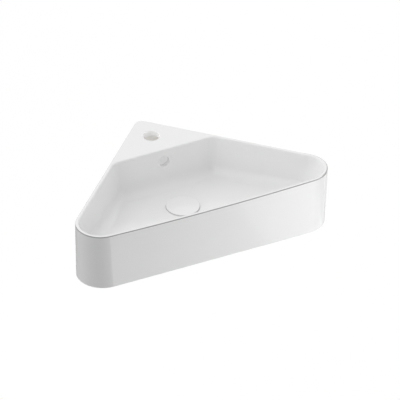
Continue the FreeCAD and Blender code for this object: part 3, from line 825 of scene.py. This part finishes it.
def shades(colour, spread):
    """A darker and a lighter neighbour of a colour."""
    return [part * (1 - spread) for part in colour], [min(part * (1 + spread), 1) for part in colour]


def glaze(name, colour, waviness, glow=0.0, painted_shade_above=EDGE_LOW):
    """White gloss glaze: level, with a faint orange peel; darker where painted shade is written on an
    edge, and with painted light where it is given a glow.
    """
    finish = Finish(name)
    # painted shade: the written attribute darkens the colour, only above a given height
    shade_amount = finish.start.node("Attribute", {}, output="Fac", attribute_name="painted_shade")
    shade_amount = shade_amount * finish.z.clear(painted_shade_above, painted_shade_above + EDGE_FADE)
    pools = finish.noise(60 * MM, detail=1.0)
    peel = finish.noise(5 * MM, detail=1.0) * waviness + finish.noise(24 * MM, detail=0.0) * 0.6
    fine = finish.noise(1.1 * MM, detail=2.0)
    level = finish.mix(pools, *shades(colour, 0.012))
    # the painted shade's darker colour
    edge = [part * PAINTED_SHADE_TONE for part in colour]
    return finish.done(
        Base_Color=finish.mix(shade_amount, level, edge),
        Roughness=fine * 0.02 + pools * 0.02 + 0.06,
        Normal=finish.bump(peel, 0.035 * MM),
        # painted light: an emission of the glaze's own colour, for light bounced round a hole
        Emission_Color=(*colour, 1),
        Emission_Strength=glow,
        IOR=1.52)


def biscuit(colour):
    """Fired clay without glaze: chalky, with fine grain, casting marks and a few specks, and painted light
    glowing under the deck towards the back.
    """
    finish = Finish("Biscuit")
    # painted light: an emission under the deck that stands for light bounced about the narrow space there
    painted_light_under_deck = finish.y.clear(-TAP_HOLE_BACK, -TAP_HOLE_BACK / 2) * DECK_GLOW
    glow = finish.start.node("CombineColor", {0: painted_light_under_deck, 1: painted_light_under_deck, 2: painted_light_under_deck})
    cloud = finish.noise(38 * MM, detail=3.0, distortion=0.4)
    grain = finish.noise(0.55 * MM, detail=3.0, roughness=0.7)
    wiped = finish.noise(3.2 * MM, detail=2.0, stretch=(1, 1, 6))
    specks = finish.cells(9 * MM).clear(0.035, 0.07)
    tone = (cloud * 0.6 + wiped * 0.4) * (specks * 0.75 + 0.25)
    return finish.done(
        Base_Color=finish.mix(tone, *shades(colour, 0.07)),
        Roughness=grain * 0.15 + 0.78,
        Normal=finish.bump(grain * 0.7 + wiped * 0.5, 0.09 * MM),
        Emission_Color=glow,
        Emission_Strength=1.0)


def chrome(colour):
    """Bright plating over turned brass, with faint polishing lines and water marks."""
    finish = Finish("Chrome plate")
    lines = finish.noise(9 * MM, detail=2.0, stretch=(1, 1, 40))
    marks = finish.noise(11 * MM, detail=4.0, roughness=0.65).clear(0.48, 0.72)
    dark, light = shades(colour, 0.03)
    return finish.done(
        Base_Color=finish.mix(marks, light, dark),
        Metallic=1.0,
        Roughness=lines * 0.05 + marks * 0.09 + 0.05,
        Normal=finish.bump(lines, 0.012 * MM))


def brass(colour):
    """Turned brass: fine rings from the tool, and a duller bloom in patches."""
    finish = Finish("Turned brass")
    rings = finish.noise(6 * MM, detail=2.0, stretch=(1, 1, 30))
    bloom = finish.noise(7 * MM, detail=4.0, roughness=0.6)
    dull = [part * shade for part, shade in zip(colour, (0.72, 0.66, 0.60))]
    return finish.done(
        Base_Color=finish.mix(bloom.clear(0.4, 0.75), colour, dull),
        Metallic=1.0,
        Roughness=bloom * 0.22 + rings * 0.1 + 0.16,
        Normal=finish.bump(rings, 0.02 * MM))


def steel(colour):
    """Drawn stainless wire."""
    finish = Finish("Spring steel")
    drawn = finish.noise(0.5 * MM, detail=2.0, stretch=(0.3, 0.3, 3))
    return finish.done(
        Base_Color=finish.mix(drawn, *shades(colour, 0.08)),
        Metallic=1.0,
        Roughness=drawn * 0.15 + 0.22)


def rubber(name, colour, grain, depth):
    """Moulded rubber: matt, with a greyish bloom and a fine grain."""
    finish = Finish(name)
    bloom = finish.noise(6 * MM, detail=4.0, roughness=0.65)
    fine = finish.noise(grain, detail=2.0, roughness=0.6)
    pale = [part + 0.035 for part in colour]
    return finish.done(
        Base_Color=finish.mix(bloom.clear(0.45, 0.8), colour, pale),
        Roughness=bloom * 0.2 + fine * 0.1 + 0.5,
        Normal=finish.bump(fine, depth))


def foam(colour):
    """Soft closed-cell rubber: small open bubbles on a dark skin."""
    finish = Finish("Foam rubber")
    bubbles = finish.cells(0.7 * MM).clear(0.15, 0.6)
    return finish.done(
        Base_Color=finish.mix(bubbles, *shades(colour, 0.3)),
        Roughness=bubbles * 0.1 + 0.8,
        Normal=finish.bump(bubbles, 0.12 * MM))


def plastic(name, colour, gloss):
    """Moulded plastic with a slight sheen, flow clouds and a fine spark-eroded grain."""
    finish = Finish(name)
    flow = finish.noise(8 * MM, detail=2.0, distortion=1.2)
    grain = finish.noise(0.25 * MM, detail=2.0)
    return finish.done(
        Base_Color=finish.mix(flow, *shades(colour, 0.04)),
        Roughness=grain * 0.08 + flow * 0.06 + gloss,
        Normal=finish.bump(grain, 0.01 * MM),
        Subsurface_Weight=0.12,
        Subsurface_Radius=(0.8, 0.8, 0.7),
        Subsurface_Scale=1.5 * MM)


# ---- the waste -------------------------------------------------------------------
def rounded(corners, closed):
    """A (radius, z) profile whose corners (radius, z, round) are rounded."""
    points = []
    count = len(corners)
    for index, (radius, z, soft) in enumerate(corners):
        here = Vector((radius, z, 0))
        inside = closed or 0 < index < count - 1
        if not soft or not inside:
            points.append((radius, z))
            continue
        before = Vector((*corners[index - 1][:2], 0)) - here
        after = Vector((*corners[(index + 1) % count][:2], 0)) - here
        half = before.angle(after) / 2
        cut = min(soft / math.tan(half), min(before.length, after.length) * CORNER_SHARE)
        soft = cut * math.tan(half)
        centre = here + (before.normalized() + after.normalized()).normalized() * soft / math.sin(half)
        first = (here + before.normalized() * cut - centre).normalized()
        last = (here + after.normalized() * cut - centre).normalized()
        for step in range(CORNER_ROUND_STEPS + 1):
            point = centre + first.slerp(last, step / CORNER_ROUND_STEPS) * soft
            points.append((point.x, point.y))
    return points


def turned_piece(name, corners, closed=True, steps=TURNED_STEPS):
    """A turned object from corners (radius, z, round), from axis to axis or closed as a ring."""
    return solid(name, turned(rounded(corners, closed), steps, closed))


def both_ends(low, high, corners):
    """Corners (radius, height over the end, round) at the low end, and again at the high end."""
    bottom = [(radius, low + rise, soft) for radius, rise, soft in corners]
    return bottom + [(radius, high - rise, soft) for radius, rise, soft in reversed(corners)]


def bore_of(node):
    """The smallest distance of a node's mesh from the waste's axis."""
    points = frame["nodes"][node].data.vertices
    return min(math.hypot(vertex.co.x, vertex.co.y - AXIS_Y) for vertex in points)


def washer(name, node, soft):
    """A flat ring with softened edges, as large as its node; its bore is measured on the node."""
    low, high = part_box(node)
    return turned_piece(name, both_ends(low.z, high.z, [(bore_of(node), 0, soft), (high.x, 0, soft)]))


def cover_piece(sizes):
    """The cover: a shallow dome with a soft edge, hollow underneath for its carrier."""
    top = COVER_HIGH.z + sizes.cover_lift
    edge = top - sizes.cover_crown
    ball = (COVER_R ** 2 + sizes.cover_crown ** 2) / 2 / sizes.cover_crown
    corners = []
    for step in range(ROUND_STEPS * 2):
        radius = COVER_R * step / ROUND_STEPS / 2
        corners.append((radius, top - ball + math.sqrt(ball ** 2 - radius ** 2), 0))
    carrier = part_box("cover_carrier")[1]
    seat = carrier.x + CARRIER_GAP
    corners += [
        (COVER_R, edge, sizes.cover_round), (COVER_R, COVER_BASE_Z, 1 * MM),
        (seat, COVER_BASE_Z, 0.3 * MM), (seat, carrier.z, 0.3 * MM), (0, carrier.z, 0),
    ]
    return turned_piece("cover", corners, closed=False)


def hexagon(flats, low, high):
    """A hexagonal prism on the waste's axis."""
    mesh = bmesh.new()
    place = Matrix.Translation((0, AXIS_Y, (low + high) / 2)) @ Matrix.Rotation(math.pi / 6, 4, "Z")
    radius = flats / 2 / math.cos(math.pi / 6)
    bmesh.ops.create_cone(mesh, cap_ends=True, segments=6, radius1=radius, radius2=radius,
                          depth=high - low, matrix=place)
    return solid("nut", mesh)


def nut_piece():
    """The back nut: chamfered both ends, with a lead-in at each end of its thread."""
    low, high = [corner.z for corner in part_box("back_nut")]
    corner = NUT_FLATS / math.sqrt(3)
    flat = NUT_FLATS / 2 - NUT_CHAMFER
    rise = (corner - flat) * math.tan(math.radians(30))
    mouth = NUT_THREAD_R + NUT_LEAD
    keep = turned_piece("turned_off", both_ends(low, high, [
        (0, 0, 0), (flat, 0, 0), (corner, rise, 0), (corner + OVERLAP, rise, 0),
    ]), closed=False)
    bore = turned_piece("bore", both_ends(low, high, [
        (0, -OVERLAP, 0), (mouth, -OVERLAP, 0), (mouth, 0, 0), (NUT_THREAD_R, NUT_LEAD, 0),
    ]), closed=False)
    return carved(carved(hexagon(NUT_FLATS, low, high), [keep], "INTERSECT"), [bore])


def thread_groove(low, high):
    """A helical cutting shape that leaves a pipe thread on the waste's tail."""
    turns = math.ceil((high - low) / THREAD_PITCH) + 1
    mesh = bmesh.new()
    root, mouth = THREAD_PITCH * GROOVE_ROOT, THREAD_PITCH * GROOVE_MOUTH
    inside, outside = THREAD_R - THREAD_DEPTH, THREAD_R + THREAD_DEPTH * GROOVE_RISE
    corners = [(outside, mouth), (outside, -mouth), (inside, -root), (inside, root)]
    geom = chain(mesh, [(radius, low - THREAD_PITCH + z) for radius, z in corners])
    geom.append(mesh.edges.new((geom[len(corners) - 1], geom[0])))
    geom.append(mesh.faces.new(geom[:len(corners)]))
    bmesh.ops.spin(mesh, geom=geom, cent=(0, AXIS_Y, 0), axis=UP, angle=math.tau * turns,
                   dvec=(0, 0, THREAD_PITCH / THREAD_STEPS), steps=THREAD_STEPS * turns)
    return solid("groove", mesh)


def waste_tube():
    """The flanged tube with its neck, relief groove and tail, before its thread is cut."""
    under_z = FLANGE_TOP_Z - FLANGE_THICKNESS
    relief_r, relief_z = THREAD_R - RELIEF_DEPTH, RELIEF_TOP_Z - RELIEF_WIDTH
    corners = [
        (MOUTH_R, FLANGE_TOP_Z, 0.5 * MM), (FLANGE_R, FLANGE_TOP_Z, 1.0 * MM),
        (FLANGE_R, under_z, 0.4 * MM), (NECK_R, under_z, 0.6 * MM),
        (NECK_R, THREAD_TOP_Z + LEAD, 0.3 * MM), (THREAD_R, THREAD_TOP_Z, 0),
        (THREAD_R, RELIEF_TOP_Z, 0.1 * MM), (relief_r, RELIEF_TOP_Z, 0.1 * MM),
        (relief_r, relief_z, 0.1 * MM), (THREAD_R, relief_z, 0.1 * MM),
        (THREAD_R, OUTLET_Z + LEAD, 0.2 * MM), (THREAD_R - LEAD, OUTLET_Z, 0.3 * MM),
        (WASTE_BORE_R, OUTLET_Z, 0.5 * MM), (WASTE_BORE_R, FLANGE_TOP_Z - MOUTH_DEPTH, 0.5 * MM),
    ]
    return turned_piece("waste", corners, steps=TURNED_STEPS * 3 // 2)


def waste_slots():
    """Cutting shapes for the slots that let the overflow's water in, between the cross's arms."""
    cutters = []
    for step in range(ARM_COUNT):
        mesh = bmesh.new()
        box(mesh, (CROSS_HUB_R, AXIS_Y - SLOT_WIDTH / 2, RUN_BASE_Z),
            (THREAD_R + OVERLAP, AXIS_Y + SLOT_WIDTH / 2, RUN_TOP_Z))
        across = [edge for edge in mesh.edges if abs((edge.verts[0].co - edge.verts[1].co).x) > OVERLAP]
        bevelled(mesh, across, SLOT_ROUND, 6)
        turn_round(mesh, math.pi / 2 + math.tau * (step + 0.5) / ARM_COUNT)
        cutters.append(solid("slot", mesh))
    return cutters


def waste_cross():
    """The hub that holds the cartridge, and the arms that hold the hub."""
    low_z = CROSS_TOP_Z - CROSS_HEIGHT
    hub = [(CROSS_BORE_R, 0, 0.4 * MM), (CROSS_HUB_R, 0, 0.8 * MM)]
    pieces = [turned_piece("hub", both_ends(low_z, CROSS_TOP_Z, hub))]
    for step in range(ARM_COUNT):
        mesh = bmesh.new()
        box(mesh, ((CROSS_BORE_R + CROSS_HUB_R) / 2, AXIS_Y - ARM_WIDTH / 2, low_z),
            ((WASTE_BORE_R + NECK_R) / 2, AXIS_Y + ARM_WIDTH / 2, CROSS_TOP_Z))
        bevelled(mesh, list(mesh.edges), ARM_ROUND, 3)
        turn_round(mesh, math.pi / 2 + math.tau * step / ARM_COUNT)
        pieces.append(solid("arm", mesh))
    return pieces


def waste_piece():
    """The flanged tube with its pipe thread, overflow slots and cross."""
    body = carved(waste_tube(), [thread_groove(OUTLET_Z + LEAD, THREAD_TOP_Z)])
    return carved(carved(body, waste_slots()), waste_cross(), "UNION")


def spring_piece():
    """The return spring's coil, with its end turns closed down."""
    low = SPRING_LOW.z + SPRING_WIRE_R
    high = SPRING_HIGH.z - SPRING_WIRE_R
    open_turns = SPRING_TURNS - 2 * CLOSED_TURNS
    open_pitch = (high - low - 2 * CLOSED_TURNS * CLOSED_PITCH) / open_turns
    closed_end = (CLOSED_TURNS, CLOSED_PITCH)
    mesh = bmesh.new()
    place = Matrix.Translation((SPRING_R, AXIS_Y, low)) @ Matrix.Rotation(math.pi / 2, 4, "X")
    made = bmesh.ops.create_circle(mesh, cap_ends=True, segments=WIRE_STEPS, radius=SPRING_WIRE_R,
                                   matrix=place)
    geom = made["verts"] + list(mesh.edges) + list(mesh.faces)
    for turns, pitch in (closed_end, (open_turns, open_pitch), closed_end):
        made = bmesh.ops.spin(mesh, geom=geom, cent=(0, AXIS_Y, 0), axis=UP, angle=math.tau * turns,
                              dvec=(0, 0, pitch / SPRING_STEPS), steps=SPRING_STEPS * turns)
        geom = made["geom_last"]
    return solid("spring", mesh)


def tapered_gasket():
    """The rubber ring under the boss: a taper with a collar and a small groove round the collar."""
    low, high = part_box("taper_gasket")
    bore = bore_of("taper_gasket")
    collar = DRAIN_HOLE_R - COLLAR_GAP
    groove = collar + COLLAR_GROOVE
    corners = [
        (bore, low.z, 0.5 * MM), (high.x, low.z, 0.8 * MM), (high.x - TAPER_EDGE, BOSS_Z, 0.8 * MM),
        (groove, BOSS_Z, 0.2 * MM), (groove - COLLAR_SLOPE, BOSS_Z - COLLAR_GROOVE_DEPTH, 0.2 * MM),
        (collar + COLLAR_GROOVE_DEPTH, BOSS_Z - COLLAR_GROOVE_DEPTH, 0.2 * MM), (collar, BOSS_Z, 0.2 * MM),
        (collar, high.z, 0.8 * MM), (bore, high.z, 0.5 * MM),
    ]
    return turned_piece("tapered_gasket", corners)


def cover_seal():
    """The flat rubber ring under the cover, with a thin lip outside."""
    low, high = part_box("plug_seal")
    bore = bore_of("plug_seal")
    corners = [
        (bore, low.z + 0.3 * MM, 0.3 * MM), (high.x - SEAL_LIP * 2, low.z + 0.3 * MM, 0.2 * MM),
        (high.x - SEAL_LIP, low.z, 0.3 * MM), (high.x, low.z + 0.5 * MM, 0.3 * MM),
        (high.x, high.z, 0.4 * MM), (bore, high.z, 0.3 * MM),
    ]
    return turned_piece("cover_seal", corners)


# ---- operators ------------------------------------------------------------------
class PieceOperator:
    """What the operators share: an error if the frame isn't there, and a plain result."""

    bl_options = {"REGISTER", "UNDO"}

    def execute(self, context):
        if not frame["nodes"]:
            raise RuntimeError("the frame has no nodes, so nothing can be placed")
        self.build(context.scene)
        return {"FINISHED"}


class BASIN_OT_body(PieceOperator, bpy.types.Operator):
    """Makes the glazed ceramic basin"""

    bl_idname = "basin.body"
    bl_label = "Basin"

    def build(self, scene):
        colours = scene.basin_colours
        body = basin_form(scene.basin_sizes)
        if not body.data.polygons:
            raise RuntimeError("carving the basin left nothing")
        body.name = "basin"
        mark_underside(body)
        # writes the painted shade along the front's outer top edge
        mark_painted_edge_shade(body)
        # the third finish paints light into the holes with an emission
        finishes = (glaze("Basin glaze", colours.glaze, 1.0), biscuit(colours.biscuit),
                    glaze("Hole glaze with painted light", colours.glaze, 1.0, HOLE_GLOW))
        fitted(body, "basin", "glaze", "basin_body", *finishes)


class BASIN_OT_cover(PieceOperator, bpy.types.Operator):
    """Makes the waste's ceramic cover"""

    bl_idname = "basin.cover"
    bl_label = "Waste cover"

    def build(self, scene):
        cover = cover_piece(scene.basin_cover)
        # writes the painted shade on the cover's side; its glaze darkens it above the cover's base
        mark_painted_side_shade(cover)
        finish = glaze("Cover glaze", scene.basin_colours.cover_glaze, 0.7, painted_shade_above=COVER_BASE_Z)
        fitted(cover, "cover", "cover_glaze", "cover_cap", finish)


class BASIN_OT_waste(PieceOperator, bpy.types.Operator):
    """Makes the flanged waste tube and its back nut"""

    bl_idname = "basin.waste"
    bl_label = "Waste tube and nut"

    def build(self, scene):
        colours = scene.basin_colours
        fitted(waste_piece(), "basin", "plated_brass", "waste_body", chrome(colours.chrome))
        fitted(nut_piece(), "basin", "bare_brass", "back_nut", brass(colours.brass))


class BASIN_OT_seals(PieceOperator, bpy.types.Operator):
    """Makes the gaskets, washers and seals"""

    bl_idname = "basin.seals"
    bl_label = "Seals and washers"

    def build(self, scene):
        colours = scene.basin_colours
        black = rubber("Seal rubber", colours.rubber, 0.3 * MM, 0.02 * MM)
        fitted(tapered_gasket(), "basin", "seal_rubber", "taper_gasket", black)
        fitted(cover_seal(), "cover", "seal_rubber", "plug_seal", black)
        for node in ("sleeve_washer", "rod_wiper"):
            fitted(washer(node + "_ring", node, 0.3 * MM), "basin", "seal_rubber", node, black)
        soft = washer("flange_ring", "flange_gasket", 0.5 * MM)
        fitted(soft, "basin", "foam_gasket", "flange_gasket", foam(colours.foam))
        slip = washer("slip_ring", "slip_washer", 0.3 * MM)
        fitted(slip, "basin", "white_nylon", "slip_washer", plastic("Nylon", colours.nylon, 0.42))


class BASIN_OT_cartridge(PieceOperator, bpy.types.Operator):
    """Makes the cartridge's spring and finishes the pieces that keep the frame's meshes"""

    bl_idname = "basin.cartridge"
    bl_label = "Cartridge"

    def build(self, scene):
        colours = scene.basin_colours
        spring = spring_piece()
        fitted(spring, None, "spring_steel", "return_spring", steel(colours.steel))
        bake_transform(spring)
        metal = bpy.data.materials["Turned brass"]
        acetal = plastic("Acetal", colours.acetal, 0.3)
        for node in ("cover_carrier", "lock_nut", "plunger_rod", "cartridge_sleeve"):
            set_finish(frame["nodes"][node], metal)
        for node in ("guide_crown", "index_rotor", "end_cap"):
            set_finish(frame["nodes"][node], acetal)


def set_finish(node, finish):
    """Gives a node that keeps the frame's mesh its material."""
    node.data.materials.clear()
    node.data.materials.append(finish)


# ---- the studio --------------------------------------------------------------------
CAMERA_AZIMUTH = math.radians(-26.1788)
CAMERA_ELEVATION = math.radians(34.8495)
CAMERA_ROLL = math.radians(0.3785)
CAMERA_AIM = Vector((-11.3, -328.1, 0)) * MM
CAMERA_DISTANCE = 33.804
CAMERA_SIGHT = 100
CAMERA_LENS = 1440
BASIN_MIDDLE = (0, -0.22, -0.05)
HANGING_HEIGHT = 0.85       # the rim's height over the floor
FLOOR_SIZE = 14.0
FLOOR_LIGHT = 1.0           # the floor's brightness where the camera sees it
FLOOR_LEFT_LIGHT = 0.3      # and on both sides of that
FLOOR_RIGHT_LIGHT = 0.5
SEEN_LEFT = -0.34           # the camera sees the floor between these two lines
SEEN_RIGHT = 0.6
SEEN_FADE = 0.06
BOARDS_START = -0.22        # the boards lie before this line, which the camera doesn't see
BOARDS_FADE = 0.08
BOARD_EDGES = (0.15, 0.562, 0.95, 1.25)
BOARD_FADE = 0.01
BOARD_LIGHT = (0.2, 1.56, 2.4, 0.86, 0.0)    # each board's brightness, from left to right
ROOM_SIDES = (              # which way each side of the room lies, and its brightness
    ((1, 0, 0), 0.75),
    ((-1, 0, 0), 1.16),
    ((0, 1, 0), 0.6),
    ((0, 0, 1), 0.72),
)
LAMP_PLACE = (0.75, -0.9, 0.0)
LAMP_SIZE = 0.5
LAMP_POWER = 2.9


def studio_camera(scene):
    """The long lens that the photo was taken with, found from the basin's outline."""
    data = bpy.data.cameras.new("camera")
    data.lens = CAMERA_LENS
    data.clip_end = CAMERA_SIGHT
    camera = bpy.data.objects.new("camera", data)
    scene.collection.objects.link(camera)
    flat = math.cos(CAMERA_ELEVATION)
    back = Vector((math.sin(CAMERA_AZIMUTH) * flat, -math.cos(CAMERA_AZIMUTH) * flat,
                   math.sin(CAMERA_ELEVATION)))
    right = UP.cross(back).normalized()
    above = back.cross(right)
    turn = Matrix.Rotation(-CAMERA_ROLL, 3, -back)
    right, above = turn @ right, turn @ above
    place = Matrix((right, above, back)).transposed().to_4x4()
    place.translation = CAMERA_AIM + back * CAMERA_DISTANCE
    camera.matrix_world = place
    scene.camera = camera


def bright_floor():
    """The studio floor: white where the camera sees it, with toned boards before the basin."""
    finish = Finish("Floor")
    board = BOARD_LIGHT[0]
    for edge, near, far in zip(BOARD_EDGES, BOARD_LIGHT, BOARD_LIGHT[1:]):
        board = board + finish.x.clear(edge, edge + BOARD_FADE) * (far - near)
    across = finish.x * math.cos(CAMERA_AZIMUTH) + finish.y * math.sin(CAMERA_AZIMUTH)
    left = across.clear(SEEN_LEFT, SEEN_LEFT - SEEN_FADE) * (FLOOR_LEFT_LIGHT - FLOOR_LIGHT)
    right = across.clear(SEEN_RIGHT, SEEN_RIGHT + SEEN_FADE) * (FLOOR_RIGHT_LIGHT - FLOOR_LIGHT)
    rest = left + right + FLOOR_LIGHT
    front = finish.y.clear(BOARDS_START + BOARDS_FADE, BOARDS_START)
    cloud = finish.noise(1.2, detail=1.0) * 0.01 + 0.995
    start = finish.start
    glow = start.node("Emission", {"Color": (front * (board - rest) + rest) * cloud})
    clear = start.node("BsdfTransparent", {})
    back = start.node("NewGeometry", {}, output="Backfacing")
    both = start.node("MixShader", {0: back, 1: glow, 2: clear})
    tree = start.tree
    tree.links.new(both.socket, tree.nodes["Material Output"].inputs["Surface"])
    tree.nodes.remove(finish.shader)
    return finish.material


def studio_floor():
    """The floor under the basin, clear from below so that it hides nothing."""
    mesh = bmesh.new()
    place = Matrix.Translation((0, -TOP_DEPTH / 2, -HANGING_HEIGHT))
    bmesh.ops.create_grid(mesh, x_segments=8, y_segments=8, size=FLOOR_SIZE, matrix=place)
    floor = made_object("floor", mesh)
    floor.data.materials.append(bright_floor())


def studio_lamp(scene):
    """A square lamp low on the right that points at the basin."""
    data = bpy.data.lights.new("right", "AREA")
    data.shape = "SQUARE"
    data.size = LAMP_SIZE
    data.energy = LAMP_POWER
    lamp = bpy.data.objects.new("right", data)
    lamp.location = LAMP_PLACE
    way = Vector(BASIN_MIDDLE) - Vector(LAMP_PLACE)
    lamp.rotation_euler = way.to_track_quat("-Z", "Y").to_euler()
    scene.collection.objects.link(lamp)


def studio_world(scene):
    """A white room whose walls and ceiling have each their own soft brightness."""
    world = bpy.data.worlds.new("studio")
    world.use_nodes = True
    start = Wire(world.node_tree)
    way = start.node("TexCoord", {}, output="Generated")
    room = 0
    for towards, brightness in ROOM_SIDES:
        share = start.node("VectorMath", {0: way, 1: towards}, output="Value", operation="DOT_PRODUCT")
        room = share.clear(0, 1) * brightness + room
    world.node_tree.links.new(room.socket, world.node_tree.nodes["Background"].inputs["Color"])
    scene.world = world


class BASIN_OT_studio(PieceOperator, bpy.types.Operator):
    """Makes the floor, the room, the lamp and the camera"""

    bl_idname = "basin.studio"
    bl_label = "Studio"

    def build(self, scene):
        scene.view_settings.view_transform = "Standard"
        scene.view_settings.look = "None"
        studio_floor()
        studio_world(scene)
        studio_lamp(scene)
        studio_camera(scene)


class BASIN_PT_panel(bpy.types.Panel):
    """Lists the pieces in the order in which they are made"""

    bl_label = "Corner basin"
    bl_idname = "BASIN_PT_panel"
    bl_space_type = "VIEW_3D"
    bl_region_type = "UI"
    bl_category = "Basin"

    def draw(self, context):
        for group in ("basin_sizes", "basin_cover", "basin_colours"):
            column = self.layout.column()
            settings = getattr(context.scene, group)
            for name in settings.bl_rna.properties.keys():
                if name not in ("rna_type", "name"):
                    column.prop(settings, name)
        for operator in OPERATORS:
            self.layout.operator(operator.bl_idname)


OPERATORS = (BASIN_OT_body, BASIN_OT_cover, BASIN_OT_waste, BASIN_OT_seals, BASIN_OT_cartridge,
             BASIN_OT_studio)
CLASSES = (BasinSizes, CoverSizes, BasinColours, *OPERATORS, BASIN_PT_panel)


def register():
    for part in CLASSES:
        bpy.utils.register_class(part)
    bpy.types.Scene.basin_sizes = bpy.props.PointerProperty(type=BasinSizes)
    bpy.types.Scene.basin_cover = bpy.props.PointerProperty(type=CoverSizes)
    bpy.types.Scene.basin_colours = bpy.props.PointerProperty(type=BasinColours)


def unregister():
    del bpy.types.Scene.basin_sizes
    del bpy.types.Scene.basin_cover
    del bpy.types.Scene.basin_colours
    for part in reversed(CLASSES):
        bpy.utils.unregister_class(part)


def main():
    register()
    bpy.ops.basin.body()
    bpy.ops.basin.cover()
    bpy.ops.basin.waste()
    bpy.ops.basin.seals()
    bpy.ops.basin.cartridge()
    bpy.ops.basin.studio()
    bpy.context.view_layer.update()


if __name__ == "__main__":
    main()
